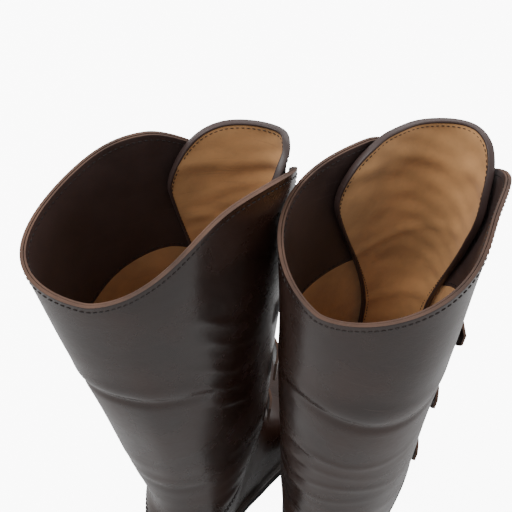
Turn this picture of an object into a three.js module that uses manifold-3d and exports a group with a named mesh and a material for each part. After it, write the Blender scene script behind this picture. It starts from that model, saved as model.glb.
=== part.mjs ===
// A pair of tall strap-and-buckle riding boots.
// Millimetres. +Z up, +Y toward the toes, +X toward the wearer's right.
// Each boot is drawn in its own frame: x toward the inner side of the leg, y toward the toes,
// z up from the floor, with the middle of the ankle at x = 0, y = 0.
import * as THREE from 'three';
import { ParametricGeometry } from 'three/addons/geometries/ParametricGeometry.js';
import { mergeVertices } from 'three/addons/utils/BufferGeometryUtils.js';
import Module from 'manifold-3d';

const lerp = THREE.MathUtils.lerp;
const rad = THREE.MathUtils.degToRad;
const clamp01 = (v) => Math.min(1, Math.max(0, v));
const smooth = (v) => {
  const t = clamp01(v);
  return t * t * (3 - 2 * t);
};

// Pair
const STAGGER = 16.5;            // right boot ahead of the left
// Sole and heel
const HEEL_HEIGHT = 24;          // heel block under the outsole
const OUTSOLE = 6;
const WELT = 3.5;
const WELT_WIDTH = 11;
const WELT_SET_BACK = 0.6;       // behind the outsole's edge
const INSOLE = 2.5;
const SOCK = 1.1;
const SHANK = 1.5;
const SHANK_HALF = 8;            // half its width
const SHANK_BACK = -52;
const SHANK_FRONT = 64;
const INSOLE_SET_BACK = 2;
const HEEL_TIP = 6;
const HEEL_STACK_SET_BACK = 1.2;
const HEEL_TIP_SET_BACK = 2.2;
const HEEL_TAPER = 0.05;         // narrowing from top to bottom, as a share
const BREAST_HOLLOW = 5;
const TOE_SPRING = 8;
const FOOT_BACK = -80;           // outsole, from the ankle middle
const FOOT_FRONT = 212;
const BREAST_Y = -6;             // front face of the heel block
const BALL_Y = 66;               // where the sole first meets the floor
const SPRING_Y = 150;            // where it leaves the floor again
// Shaft
const ANKLE_Z = 115;
const RIM_Z = 400;               // topline at the back
const ANKLE_HALF_WIDTH = 43;
const ANKLE_HALF_DEPTH = 54;
const TOP_HALF_WIDTH = 48.9;
const TOP_HALF_DEPTH = 73.6;
const SPACING = TOP_HALF_DEPTH + 42.4;   // between the two ankles, side to side
const INNER_EAR = 49.3;          // ear height over the back of the topline
const OUTER_EAR = 51.3;
const INNER_EAR_ANGLE = 118.4;   // degrees round from the back
const OUTER_EAR_ANGLE = 134.6;
const EAR_RISE = 0.72;           // power of the rise from the back to an ear
const WIDENING = 0.85;           // power of the widening from ankle to rim
const THROAT_Z = 184;            // foot of the front opening
const GAP_TOP = 44;              // width of the front opening
const GAP_LOW = 24;
// Leather
const LEATHER = 1.9;
const LINING = 1.1;
const STIFFENER = 1.1;
const FIT = 0.3;                 // clearance between pieces that touch
// Tongue
const TONGUE_LEATHER = 1.8;
const TONGUE_LINING = 1.0;
const TONGUE_EASE = 0.037 * TOP_HALF_DEPTH;   // tongue to shaft lining
const TONGUE_FOOT_EASE = 1.3;    // the same at the sewn foot
const TONGUE_GAP = 0.7;          // between the tongue's two leathers
const TONGUE_OVER_EAR = 4;       // top of the tongue over the outer ear
const TONGUE_FOOT_Z = 174;
const TONGUE_FOOT_HALF = 26;     // half width along the wall
const TONGUE_CROWN = 0.175;      // fall of its top edge toward the sides, as a share
const TONGUE_CROWN_POWER = 3.2;
// Straps
const STRAP_HEIGHTS = [316, 250, 186];
const STRAP_WIDTH = 22;
const STRAP = 2.0;
const STRAP_LIFT = 0.007 * TOP_HALF_DEPTH;    // off the shaft
const STRAP_ROOT_ANGLE = 126;    // sewn end, degrees round from the back on the inner side
const BUCKLE_ANGLE = 165;        // middle of the buckle, on the outer side
const TIP_REACH = 47;            // buckle middle to the strap's tip
const TIP_STANDOUT = [5, 1, 1];
const CHAPE = 1.4;
const CHAPE_REACH = 36;
const BAR = 2.8;                 // buckle wire
const BAR_CLEAR = 0.2;
const BAR_RIDE = 0.045;          // far bar over the strap, as a share of the strap's width
const FAR_BAR_S = -11;
const HEEL_BAR_S = 10;
const FRAME_SIDE_GAP = 1.2;      // strap edge to the frame
const PRONG_WIDTH = 2.8;
const PRONG = 2.4;
const PRONG_PLAY = 0.5;
const KEEPER_S = 29;
const KEEPER_WIDTH = 7;
const KEEPER = 1.4;
const PRONG_HOLE = [-17.4, -0.6];  // the strap's hole, along the strap from the heel bar
const STRAP_JOIN = [-22, -20];   // overlap of the strap's long and buckle runs
const SHIFT = 0.01;              // radians either side when reading a direction

// Turn, lean and opening shape of each shaft, which the leg has set
const BOOTS = {
  left: {
    inner: 1, lean: [-7.5, -38.3], slim: 6.4, turn: -35.9, lobe: [0.003, 0.036], front: -8.9,
    tongueAxis: 155.5, tongueHalf: 66,
  },
  right: {
    inner: -1, lean: [2.3, -7.3], slim: -2.9, turn: 17.4, lobe: [-0.066, -0.069], front: 18.7,
    tongueAxis: 177.5, tongueHalf: 73,
  },
};
const SECTION_SINK = 6;          // sections reach below the sole line, where they are trimmed
// Upper's sections, toe to ankle: y and z of top and bottom, half width, boxiness of the lower half
const FOOT_SECTIONS = [
  { top: [204, 33], low: [206, 16], half: 13, box: 0.2 },
  { top: [196, 47], low: [201, soleUnder(201)], half: 28, box: 0.4 },
  { top: [180, 57], low: [186, soleUnder(186) - SECTION_SINK], half: 38, box: 0.5 },
  { top: [150, 66], low: [152, soleUnder(152) - SECTION_SINK], half: 44, box: 0.5 },
  { top: [122, 76], low: [122, soleUnder(122) - SECTION_SINK], half: 44.5, box: 0.5 },
  { top: [98, 90], low: [86, soleUnder(86) - SECTION_SINK], half: 39.5, box: 0.5 },
  { top: [80, 110], low: [42, soleUnder(42) - SECTION_SINK], half: 33, box: 0.45 },
  { top: [67, 129], low: [0, soleUnder(0) - SECTION_SINK], half: 32, box: 0.4 },
  { top: [60, 143], low: [-48, soleUnder(-48) - SECTION_SINK], half: 33.5, box: 0.35 },
  { top: [57.5, 151], low: [-76, 46], half: 35, box: 0.15 },
  { top: [56.4, 158], low: [-70, 92], half: 39, box: 0 },
  { top: [55.5, 163], low: [-60, 128], half: 42.3, box: 0 },
];
const LEVELLING = 7;              // section where the foot starts to turn into the leg
const SHAFT_FOOT_Z = 171;        // first level ring of the shaft
const SHAFT_RINGS = 7;
const ROUND = 24;                // points round a ring
// Outsole edge, heel to toe: y, inner half width, outer half width
const SOLE_EDGE = [
  [-80, 6, 6], [-75, 21, 21], [-62, 31, 32], [-40, 37, 37], [-10, 35, 37], [25, 31, 36],
  [60, 36, 40], [95, 46, 44.5], [125, 51, 46], [155, 49, 43], [180, 39, 34], [198, 26, 22],
  [208, 13, 11], [212, 4, 4],
];
const SOLE_STATIONS = [
  -80, -77, -70, -58, -40, -20, -6, 8, 20, 34, 50, 66, 90, 115, 140, 158, 174, 188, 199, 207, 212,
];
// Side view outlines, y and z: seam between shaft and foot, seam between vamp and counter cover
const ANKLE_SEAM = [[-62, 100], [-20, 116], [28, 128], [62, 134]];
const SIDE_SEAM = [[-2, -10], [8, 60], [30, 150]];
const PUFF_BACK = [[152, -80], [176, 90]];
const COUNTER_FRONT = [[-12, -80], [-22, 66], [-44, 84]];
const FAR = 260;                 // beyond the boot in any direction

const wasm = await Module();
wasm.setup();

const COLOURS = {
  shaft: [0x1c1412, 0.3, 0],
  foot: [0x1c1412, 0.32, 0],
  lining: [0x7a4f30, 0.6, 0],
  tongue: [0x241a17, 0.35, 0],
  strap: [0x1a1311, 0.35, 0],
  steel: [0x9a9690, 0.3, 1],
  rubber: [0x141313, 0.7, 0],
  heel: [0x241812, 0.5, 0],
  insole: [0xa9825a, 0.8, 0],
  stiffener: [0xb9a184, 0.8, 0],
  welt: [0x2b1c14, 0.55, 0],
};
const materials = {};
for (const [name, [color, roughness, metalness]] of Object.entries(COLOURS)) {
  materials[name] = new THREE.MeshStandardMaterial({ name, color, roughness, metalness });
}

// ---- solids ----
function solidOf(geometry) {
  const bare = geometry.clone();
  bare.deleteAttribute('normal');
  bare.deleteAttribute('uv');
  const merged = mergeVertices(bare, 1e-4);
  const kept = [];
  const index = merged.index.array;
  for (let i = 0; i < index.length; i += 3) {
    const [a, b, c] = [index[i], index[i + 1], index[i + 2]];
    if (a !== b && b !== c && c !== a) kept.push(a, b, c);
  }
  const points = new Float32Array(merged.attributes.position.array);
  const signed = volumeOf(points, kept);
  if (signed < 0) {
    for (let i = 0; i < kept.length; i += 3) {
      [kept[i + 1], kept[i + 2]] = [kept[i + 2], kept[i + 1]];
    }
  }
  return new wasm.Manifold(new wasm.Mesh({
    numProp: 3, vertProperties: points, triVerts: new Uint32Array(kept),
  }));
}

function volumeOf(points, index) {
  let sum = 0;
  const corner = (i) => new THREE.Vector3().fromArray(points, 3 * i);
  for (let i = 0; i < index.length; i += 3) {
    sum += corner(index[i]).dot(corner(index[i + 1]).cross(corner(index[i + 2])));
  }
  return sum;
}

function geometryOf(solid) {
  const mesh = solid.getMesh();
  const geometry = new THREE.BufferGeometry();
  geometry.setAttribute('position', new THREE.BufferAttribute(new Float32Array(mesh.vertProperties), 3));
  geometry.setIndex(new THREE.BufferAttribute(new Uint32Array(mesh.triVerts), 1));
  return geometry;
}

// A box with many divisions whose corners are moved to map(across, along, through), each 0 to 1
function bentBox(across, along, through, map) {
  const geometry = new THREE.BoxGeometry(1, 1, 1, across, along, through);
  const place = geometry.attributes.position;
  for (let i = 0; i < place.count; i += 1) {
    const at = map(place.getX(i) + 0.5, place.getY(i) + 0.5, place.getZ(i) + 0.5);
    place.setXYZ(i, at.x, at.y, at.z);
  }
  return solidOf(geometry);
}

// A closed form through rings of points, with both ends drawn to their middles
function loft(rings) {
  const middle = (ring) => ring.reduce((sum, p) => sum.add(p), new THREE.Vector3()).divideScalar(ring.length);
  const rows = [null, ...rings, null];
  const ends = [middle(rings[0]), middle(rings[rings.length - 1])];
  const place = (u, v, target) => {
    const row = Math.round(v * (rows.length - 1));
    if (!rows[row]) return target.copy(row === 0 ? ends[0] : ends[1]);
    return target.copy(rows[row][Math.round(u * ROUND) % ROUND]);
  };
  return solidOf(new ParametricGeometry(place, ROUND, rows.length - 1));
}

// A side view outline [y, z], given width across x
function slabX(outline, low = -120, high = 120) {
  const shape = new THREE.Shape(outline.map(([y, z]) => new THREE.Vector2(y, z)));
  const geometry = new THREE.ExtrudeGeometry(shape, { depth: high - low, bevelEnabled: false });
  geometry.applyMatrix4(new THREE.Matrix4().makeBasis(
    new THREE.Vector3(0, 1, 0), new THREE.Vector3(0, 0, 1), new THREE.Vector3(1, 0, 0)));
  geometry.translate(low, 0, 0);
  return solidOf(geometry);
}

// ---- the shaft's form ----
// Radius from the leaning axis, at an angle round from the back toward the inner side
function shaftRadius(boot, angle, part) {
  const low = 1 / Math.hypot(Math.sin(angle) / ANKLE_HALF_WIDTH, Math.cos(angle) / ANKLE_HALF_DEPTH);
  const turned = angle - rad(boot.turn);
  const [halfWidth, halfDepth] = [TOP_HALF_WIDTH - boot.slim, TOP_HALF_DEPTH + boot.slim];
  const wide = Math.hypot(Math.sin(turned) / halfWidth, Math.cos(turned) / halfDepth);
  const lobes = 1 + boot.lobe[0] * Math.cos(3 * angle) + boot.lobe[1] * Math.sin(3 * angle);
  const top = lobes / wide;
  return lerp(low, top, Math.max(part, 0) ** WIDENING);
}

function shaftPoint(boot, angle, z, outset = 0) {
  const part = (z - ANKLE_Z) / (RIM_Z - ANKLE_Z);
  const r = shaftRadius(boot, angle, part) + outset;
  const x = r * Math.sin(angle) + boot.lean[0] * part;
  const y = -r * Math.cos(angle) + boot.lean[1] * part;
  return new THREE.Vector3(x, y, z);
}

// Height of the topline over its back, at an angle round from the back
function toplineRise(boot, angle) {
  const degrees = THREE.MathUtils.radToDeg(angle) - boot.front;
  const turn = THREE.MathUtils.euclideanModulo(degrees + 180, 360) - 180;
  const [ear, at] = turn >= 0 ? [INNER_EAR, INNER_EAR_ANGLE] : [OUTER_EAR, OUTER_EAR_ANGLE];
  const u = Math.abs(turn) / at;
  if (u <= 1) return ear * Math.pow(smooth(u), EAR_RISE);
  return ear * Math.max(0, 1 - 5 * (u - 1) ** 2);
}

// Rings of the whole upper, from the toe to the topline, drawn in by an inset
function upperRings(boot, inset, footInset, topped) {
  const rings = [];
  FOOT_SECTIONS.forEach((section, index) => {
    const late = clamp01((index - LEVELLING) / (FOOT_SECTIONS.length - LEVELLING));
    const drawn = lerp(footInset, inset, late);
    const top = new THREE.Vector3(0, ...section.top);
    const low = new THREE.Vector3(0, ...section.low);
    const part = clamp01((section.top[1] - ANKLE_Z) / (RIM_Z - ANKLE_Z));
    const middle = top.clone().add(low).multiplyScalar(0.5);
    const reach = top.clone().sub(low).multiplyScalar(0.5);
    const shrink = 1 - Math.min(0.9, drawn / reach.length());
    reach.multiplyScalar(shrink);
    const half = section.half - Math.min(section.half - 3, drawn);
    const across = soleMiddle(middle.y) * (1 - late) + boot.lean[0] * part * late;
    if (index === 0) middle.y -= drawn;
    const ring = [];
    for (let i = 0; i < ROUND; i += 1) {
      const phi = (2 * Math.PI * i) / ROUND;
      const [s, c] = [Math.sin(phi), -Math.cos(phi)];
      const power = c < 0 ? 1 - section.box : 1 - 0.3 * section.box;
      const side = Math.sign(s) * Math.pow(Math.abs(s), power);
      const up = Math.sign(c) * Math.pow(Math.abs(c), power);
      ring.push(new THREE.Vector3(across + half * side, middle.y + reach.y * up, middle.z + reach.z * up));
    }
    rings.push(ring);
  });
  for (let j = 0; j < SHAFT_RINGS; j += 1) {
    const rise = j / (SHAFT_RINGS - 1);
    const ring = [];
    for (let i = 0; i < ROUND; i += 1) {
      const phi = (2 * Math.PI * i) / ROUND;
      const angle = Math.atan2(ANKLE_HALF_WIDTH * Math.sin(phi), ANKLE_HALF_DEPTH * Math.cos(phi));
      const top = RIM_Z + toplineRise(boot, angle);
      ring.push(shaftPoint(boot, angle, lerp(SHAFT_FOOT_Z, top, rise), -inset));
    }
    rings.push(ring);
  }
  if (!topped) rings.push(rings[rings.length - 1].map((p) => new THREE.Vector3(p.x, p.y, p.z + 60)));
  return rings;
}

// ---- the sole's form ----
function soleEdge(y, side) {
  const column = side > 0 ? 1 : 2;
  const next = Math.max(1, SOLE_EDGE.findIndex(([edge]) => edge >= y));
  const [low, high] = [SOLE_EDGE[next - 1], SOLE_EDGE[next]];
  const before = SOLE_EDGE[Math.max(0, next - 2)];
  const after = SOLE_EDGE[Math.min(SOLE_EDGE.length - 1, next + 1)];
  const span = high[0] - low[0];
  const t = clamp01((y - low[0]) / span);
  const slopeLow = ((high[column] - before[column]) / (high[0] - before[0])) * span;
  const slopeHigh = ((after[column] - low[column]) / (after[0] - low[0])) * span;
  const [t2, t3] = [t * t, t * t * t];
  return (2 * t3 - 3 * t2 + 1) * low[column] + (t3 - 2 * t2 + t) * slopeLow
    + (3 * t2 - 2 * t3) * high[column] + (t3 - t2) * slopeHigh;
}

function soleMiddle(y) {
  const at = Math.min(FOOT_FRONT - 8, Math.max(FOOT_BACK + 8, y));
  return (soleEdge(at, 1) - soleEdge(at, -1)) / 2;
}

// Underside of the outsole: heel seat, waist, tread, toe spring
function soleUnder(y) {
  if (y <= BREAST_Y) return HEEL_HEIGHT;
  if (y < BALL_Y) return HEEL_HEIGHT * (1 - smooth((y - BREAST_Y) / (BALL_Y - BREAST_Y)));
  return TOE_SPRING * clamp01((y - SPRING_Y) / (FOOT_FRONT - SPRING_Y)) ** 2;
}

// A layer of the bottom, between two heights over the outsole's underside, with its edge drawn in
function bottomLayer(low, high, inset, yLow = FOOT_BACK, yHigh = FOOT_FRONT) {
  const start = Math.max(yLow, FOOT_BACK + inset);
  const stop = Math.min(yHigh, FOOT_FRONT - inset);
  const stations = [start, ...SOLE_STATIONS.filter((y) => y > start + 1 && y < stop - 1), stop];
  const squeeze = (y) => {
    const [back, front] = [FOOT_BACK + inset, FOOT_FRONT - inset];
    return lerp(FOOT_BACK, FOOT_FRONT, (y - back) / (front - back));
  };
  return bentBox(1, stations.length - 1, 1, (across, along, through) => {
    const y = stations[Math.round(along * (stations.length - 1))];
    const inner = Math.max(2, soleEdge(squeeze(y), 1) - inset);
    const outer = Math.max(2, soleEdge(squeeze(y), -1) - inset);
    return new THREE.Vector3(lerp(-outer, inner, across), y, soleUnder(y) + lerp(low, high, through));
  });
}

// Levels of the bottom, over the outsole's underside
const weltLow = OUTSOLE + FIT;
const weltHigh = weltLow + WELT;
const upperLow = weltHigh + FIT;

function under(level) {
  const stations = [FOOT_BACK - 60, ...SOLE_STATIONS, FOOT_FRONT + 60];
  return bentBox(1, stations.length - 1, 1, (across, along, through) => {
    const y = stations[Math.round(along * (stations.length - 1))];
    return new THREE.Vector3(lerp(-90, 90, across), y, through < 0.5 ? -60 : soleUnder(y) + level);
  });
}

// ---- pieces cut from the upper's form ----
const seamAt = (offset) => {
  const line = ANKLE_SEAM.map(([y, z]) => [y, z + offset]);
  return [[-FAR, line[0][1]], ...line, [FAR, line[line.length - 1][1]]];
};
const sideSeam = (offset) => SIDE_SEAM.map(([y, z]) => [y + offset, z]);

function makeUpper(boot, names) {
  const leatherFootInset = LEATHER + FIT + STIFFENER + FIT;
  const outer = loft(upperRings(boot, 0, 0, true));
  const leatherIn = loft(upperRings(boot, LEATHER, LEATHER, false));
  const stiffOut = loft(upperRings(boot, LEATHER + FIT, LEATHER + FIT, false));
  const stiffIn = loft(upperRings(boot, LEATHER + FIT, LEATHER + FIT + STIFFENER, false));
  const liningOut = loft(upperRings(boot, LEATHER + FIT, leatherFootInset, true));
  const liningIn = loft(upperRings(boot, LEATHER + FIT + LINING, leatherFootInset + LINING, false));
  const below = under(upperLow);
  const leather = outer.subtract(leatherIn).subtract(below);
  const belowSeam = slabX([[-FAR, -FAR], ...seamAt(-FIT / 2), [FAR, -FAR]]);
  const aboveSeam = slabX([[-FAR, 3 * FAR], ...seamAt(FIT / 2), [FAR, 3 * FAR]]);
  const gap = frontGap(boot);
  const shaft = leather.intersect(aboveSeam).subtract(gap);
  const low = leather.intersect(belowSeam);
  const ahead = slabX([[FAR, SIDE_SEAM[0][1]], ...sideSeam(FIT / 2), [FAR, SIDE_SEAM[2][1]]]);
  const behind = slabX([[-FAR, SIDE_SEAM[0][1]], ...sideSeam(-FIT / 2), [-FAR, SIDE_SEAM[2][1]]]);
  const vamp = low.intersect(ahead);
  const counter = low.intersect(behind);
  const stiff = stiffOut.subtract(stiffIn).subtract(below);
  const puff = stiff.intersect(slabX([...PUFF_BACK, [FAR, PUFF_BACK[1][1]], [FAR, PUFF_BACK[0][1]]]));
  const heelCounter = stiff.intersect(slabX([
    [-FAR, COUNTER_FRONT[0][1]], ...COUNTER_FRONT, [-FAR, COUNTER_FRONT[2][1]],
  ]));
  const lining = liningOut.subtract(liningIn).subtract(below).subtract(gap);
  const cavity = loft(upperRings(boot, LEATHER + FIT + LINING + FIT, leatherFootInset + LINING + FIT, false));
  return {
    [names.shaft]: [shaft, 'shaft'],
    [names.vamp]: [vamp, 'foot'],
    [names.counter_cover]: [counter, 'foot'],
    [names.toe_puff]: [puff, 'stiffener'],
    [names.heel_counter]: [heelCounter, 'stiffener'],
    [names.lining]: [lining, 'lining'],
    cavity,
  };
}

// The front opening: a wedge centred on the tongue
function frontGap(boot) {
  return bentBox(1, 8, 1, (across, along, through) => {
    const z = lerp(THROAT_Z, RIM_Z + 110, along);
    const part = (z - ANKLE_Z) / (RIM_Z - ANKLE_Z);
    const angle = rad(frontAxis(boot, z));
    const half = lerp(GAP_LOW, GAP_TOP, clamp01((z - THROAT_Z) / (RIM_Z - THROAT_Z))) / 2;
    const out = new THREE.Vector3(Math.sin(angle), -Math.cos(angle), 0);
    const aside = new THREE.Vector3(-out.y, out.x, 0);
    const axis = new THREE.Vector3(boot.lean[0] * part, boot.lean[1] * part, z);
    return axis
      .addScaledVector(out, lerp(20, 130, through))
      .addScaledVector(aside, lerp(-half, half, across));
  });
}

// ---- the bottom ----
function makeBottom(cavity, names) {
  const outsole = bottomLayer(0, OUTSOLE, 0);
  const welt = bottomLayer(weltLow, weltHigh, WELT_SET_BACK)
    .subtract(bottomLayer(weltLow - 2, weltHigh + 2, WELT_WIDTH));
  const shank = bottomLayer(weltHigh - SHANK, weltHigh, 0, SHANK_BACK, SHANK_FRONT)
    .intersect(slabY(-SHANK_HALF, SHANK_HALF));
  const insole = bottomLayer(upperLow, upperLow + INSOLE, INSOLE_SET_BACK).intersect(cavity);
  const sockLow = upperLow + INSOLE + FIT;
  const sock = bottomLayer(sockLow, sockLow + SOCK, INSOLE_SET_BACK).intersect(cavity);
  const heelStack = heelLayer(HEEL_TIP + FIT, HEEL_HEIGHT - FIT, HEEL_STACK_SET_BACK);
  const heelTip = heelLayer(0, HEEL_TIP, HEEL_TIP_SET_BACK);
  return {
    [names.outsole]: [outsole, 'rubber'],
    [names.welt]: [welt, 'welt'],
    [names.shank]: [shank, 'steel'],
    [names.insole]: [insole, 'insole'],
    [names.sock_lining]: [sock, 'lining'],
    [names.heel_stack]: [heelStack, 'heel'],
    [names.heel_tip]: [heelTip, 'rubber'],
  };
}

function slabY(low, high) {
  const geometry = new THREE.BoxGeometry(high - low, 400, 200);
  geometry.translate((low + high) / 2, 60, 60);
  return solidOf(geometry);
}

// One level of the heel, straight-sided, its breast slightly hollowed
function heelLayer(low, high, inset) {
  const stations = SOLE_STATIONS.filter((y) => y < BREAST_Y - 6);
  const back = FOOT_BACK + inset;
  const ys = [back, ...stations.filter((y) => y > back + 1), BREAST_Y - inset];
  return bentBox(4, ys.length - 1, 1, (across, along, through) => {
    const y = ys[Math.round(along * (ys.length - 1))];
    const taper = 1 - HEEL_TAPER * (1 - lerp(low, high, through) / HEEL_HEIGHT);
    const inner = Math.max(2, soleEdge(Math.max(FOOT_BACK, y - inset * 0.6), 1) - inset) * taper;
    const outer = Math.max(2, soleEdge(Math.max(FOOT_BACK, y - inset * 0.6), -1) - inset) * taper;
    const hollow = along === 1 ? -BREAST_HOLLOW * (1 - (2 * across - 1) ** 2) : 0;
    return new THREE.Vector3(lerp(-outer, inner, across), y + hollow, lerp(low, high, through));
  });
}

// ---- the tongue ----
// Distance along the wall from the tongue's middle, turned into an angle
function wallAngle(boot, axis, z, inset, along) {
  const step = rad(2) * Math.sign(along || 1);
  let angle = rad(axis);
  let left = Math.abs(along);
  let here = shaftPoint(boot, angle, z, -inset);
  for (let i = 0; i < 90 && left > 1e-6; i += 1) {
    const next = shaftPoint(boot, angle + step, z, -inset);
    const length = next.distanceTo(here);
    if (length >= left) return angle + (step * left) / length;
    left -= length;
    angle += step;
    here = next;
  }
  return angle;
}

// Middle of the tongue and of the front opening, degrees round from the back
function frontAxis(boot, z) {
  const rise = (z - TONGUE_FOOT_Z) / (RIM_Z + OUTER_EAR + TONGUE_OVER_EAR - TONGUE_FOOT_Z);
  return lerp(180, boot.tongueAxis, smooth(rise));
}

function tongueSheet(boot, outerInset, innerInset) {
  const top = RIM_Z + OUTER_EAR + TONGUE_OVER_EAR;
  return bentBox(12, 8, 1, (across, along, through) => {
    const side = 2 * across - 1;
    const crown = 1 - TONGUE_CROWN * Math.abs(side) ** TONGUE_CROWN_POWER;
    const z = lerp(TONGUE_FOOT_Z, TONGUE_FOOT_Z + (top - TONGUE_FOOT_Z) * crown, along);
    const rise = (z - TONGUE_FOOT_Z) / (top - TONGUE_FOOT_Z);
    const half = tongueHalfWidth(boot, rise);
    const angle = wallAngle(boot, frontAxis(boot, z), z, 0, side * half);
    const { origin, normal } = surfaceFrame(boot, z, angle);
    const ease = lerp(TONGUE_FOOT_EASE, TONGUE_EASE, smooth(rise / 0.2)) - TONGUE_EASE;
    return origin.addScaledVector(normal, -lerp(outerInset, innerInset, through) - ease);
  });
}

function tongueHalfWidth(boot, rise) {
  const spread = smooth((rise - 0.45) / 0.5);
  return lerp(TONGUE_FOOT_HALF, boot.tongueHalf, 0.12 * rise + 0.88 * spread);
}

function makeTongue(boot, names) {
  const outer = LEATHER + FIT + LINING + TONGUE_EASE;
  const leather = tongueSheet(boot, outer, outer + TONGUE_LEATHER);
  const liningInset = outer + TONGUE_LEATHER + TONGUE_GAP;
  const lining = tongueSheet(boot, liningInset, liningInset + TONGUE_LINING);
  return {
    [names.tongue]: [leather, 'tongue'],
    [names.tongue_lining]: [lining, 'lining'],
  };
}

// ---- straps and buckles ----
// Arc-length walk along the outside of the shaft from the buckle, positive toward the tip
function strapAngles(boot, z) {
  const step = rad(1);
  const start = rad(-BUCKLE_ANGLE);
  return (s) => {
    let angle = start;
    let left = Math.abs(s);
    const turn = s >= 0 ? step : -step;
    let here = shaftPoint(boot, angle, z);
    for (let i = 0; i < 400; i += 1) {
      const next = shaftPoint(boot, angle + turn, z);
      const length = next.distanceTo(here);
      if (length >= left) return angle + (turn * left) / length;
      left -= length;
      angle += turn;
      here = next;
    }
    return angle;
  };
}

function surfaceFrame(boot, z, angle) {
  const origin = shaftPoint(boot, angle, z);
  const ahead = shaftPoint(boot, angle + SHIFT, z).sub(shaftPoint(boot, angle - SHIFT, z)).normalize();
  const upward = shaftPoint(boot, angle, z + 2).sub(shaftPoint(boot, angle, z - 2)).normalize();
  const normal = ahead.clone().cross(upward).normalize();
  if (normal.dot(new THREE.Vector3(Math.sin(angle), -Math.cos(angle), 0)) < 0) normal.negate();
  const up = normal.clone().cross(ahead).normalize();
  if (up.z < 0) up.negate();
  return { origin, ahead, normal, up };
}

// A strip that follows the shaft: lift(s) is its underside's height off the leather
function strip(boot, z, from, to, count, width, thick, lift, endWidth = () => 1) {
  const angleAt = strapAngles(boot, z);
  return bentBox(1, count, 1, (across, along, through) => {
    const s = lerp(from, to, along);
    const angle = angleAt(s);
    const frame = surfaceFrame(boot, z, angle);
    const dz = (across - 0.5) * width * endWidth(s);
    const slope = lift(s + 0.5) - lift(s - 0.5);
    const tilt = Math.hypot(1, slope);
    const at = shaftPoint(boot, angle, z + dz * frame.up.z);
    return at.addScaledVector(frame.normal, lift(s) + (through * thick) / tilt)
      .addScaledVector(frame.ahead, (-through * thick * slope) / tilt);
  });
}

const loopOuter = BAR / Math.SQRT2 + BAR_CLEAR + CHAPE;
const loopLift = STRAP_LIFT + loopOuter;
const farBarLift = STRAP_LIFT + STRAP + BAR_RIDE * STRAP_WIDTH + BAR / 2;

// Height of the strap's underside off the shaft along the buckle
function strapLift(standout) {
  const over = loopLift + loopOuter + FIT;
  const onChape = STRAP_LIFT + CHAPE + FIT;
  const knots = [
    [-60, STRAP_LIFT],
    [FAR_BAR_S + BAR / 2 + 1, STRAP_LIFT],
    [HEEL_BAR_S - 3.6, over],
    [HEEL_BAR_S + 3.2, over],
    [HEEL_BAR_S + 14, onChape + 0.2],
    [CHAPE_REACH, onChape + 0.2],
    [TIP_REACH, onChape + standout],
  ];
  const shapes = [(t) => t, (t) => t, smoothish, (t) => t, smoothish, smoothish, (t) => t * t];
  return (s) => {
    if (s <= knots[0][0]) return knots[0][1];
    for (let i = 1; i < knots.length; i += 1) {
      if (s <= knots[i][0]) {
        const t = (s - knots[i - 1][0]) / (knots[i][0] - knots[i - 1][0]);
        return lerp(knots[i - 1][1], knots[i][1], shapes[i](t));
      }
    }
    return knots[knots.length - 1][1];
  };
}
const smoothish = (t) => lerp(t, smooth(t), 0.45);

// Places a solid drawn with s along x, up along y and outward along z
function seat(geometry, frame) {
  const basis = new THREE.Matrix4().makeBasis(frame.ahead, frame.up, frame.normal);
  geometry.applyMatrix4(basis.setPosition(frame.origin));
  return solidOf(geometry);
}

// Extrudes an outline drawn in (s, outward) across the strap's width
function acrossStrap(shape, width) {
  const geometry = new THREE.ExtrudeGeometry(shape, { depth: width, bevelEnabled: false, curveSegments: 5 });
  geometry.translate(0, 0, -width / 2);
  geometry.applyMatrix4(new THREE.Matrix4().makeBasis(
    new THREE.Vector3(1, 0, 0), new THREE.Vector3(0, 0, 1), new THREE.Vector3(0, 1, 0)));
  return geometry;
}

function buckleFrame(boot, z) {
  const angleAt = strapAngles(boot, z);
  const far = surfaceFrame(boot, z, angleAt(FAR_BAR_S));
  const heel = surfaceFrame(boot, z, angleAt(HEEL_BAR_S));
  const farBar = far.origin.clone().addScaledVector(far.normal, farBarLift);
  const heelBar = heel.origin.clone().addScaledVector(heel.normal, loopLift);
  const ahead = heelBar.clone().sub(farBar);
  const length = ahead.length();
  ahead.normalize();
  const up = heel.up.clone().addScaledVector(ahead, -heel.up.dot(ahead)).normalize();
  const normal = ahead.clone().cross(up);
  if (normal.dot(heel.normal) < 0) normal.negate();
  return { origin: heelBar, ahead, up, normal, length };
}

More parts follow.
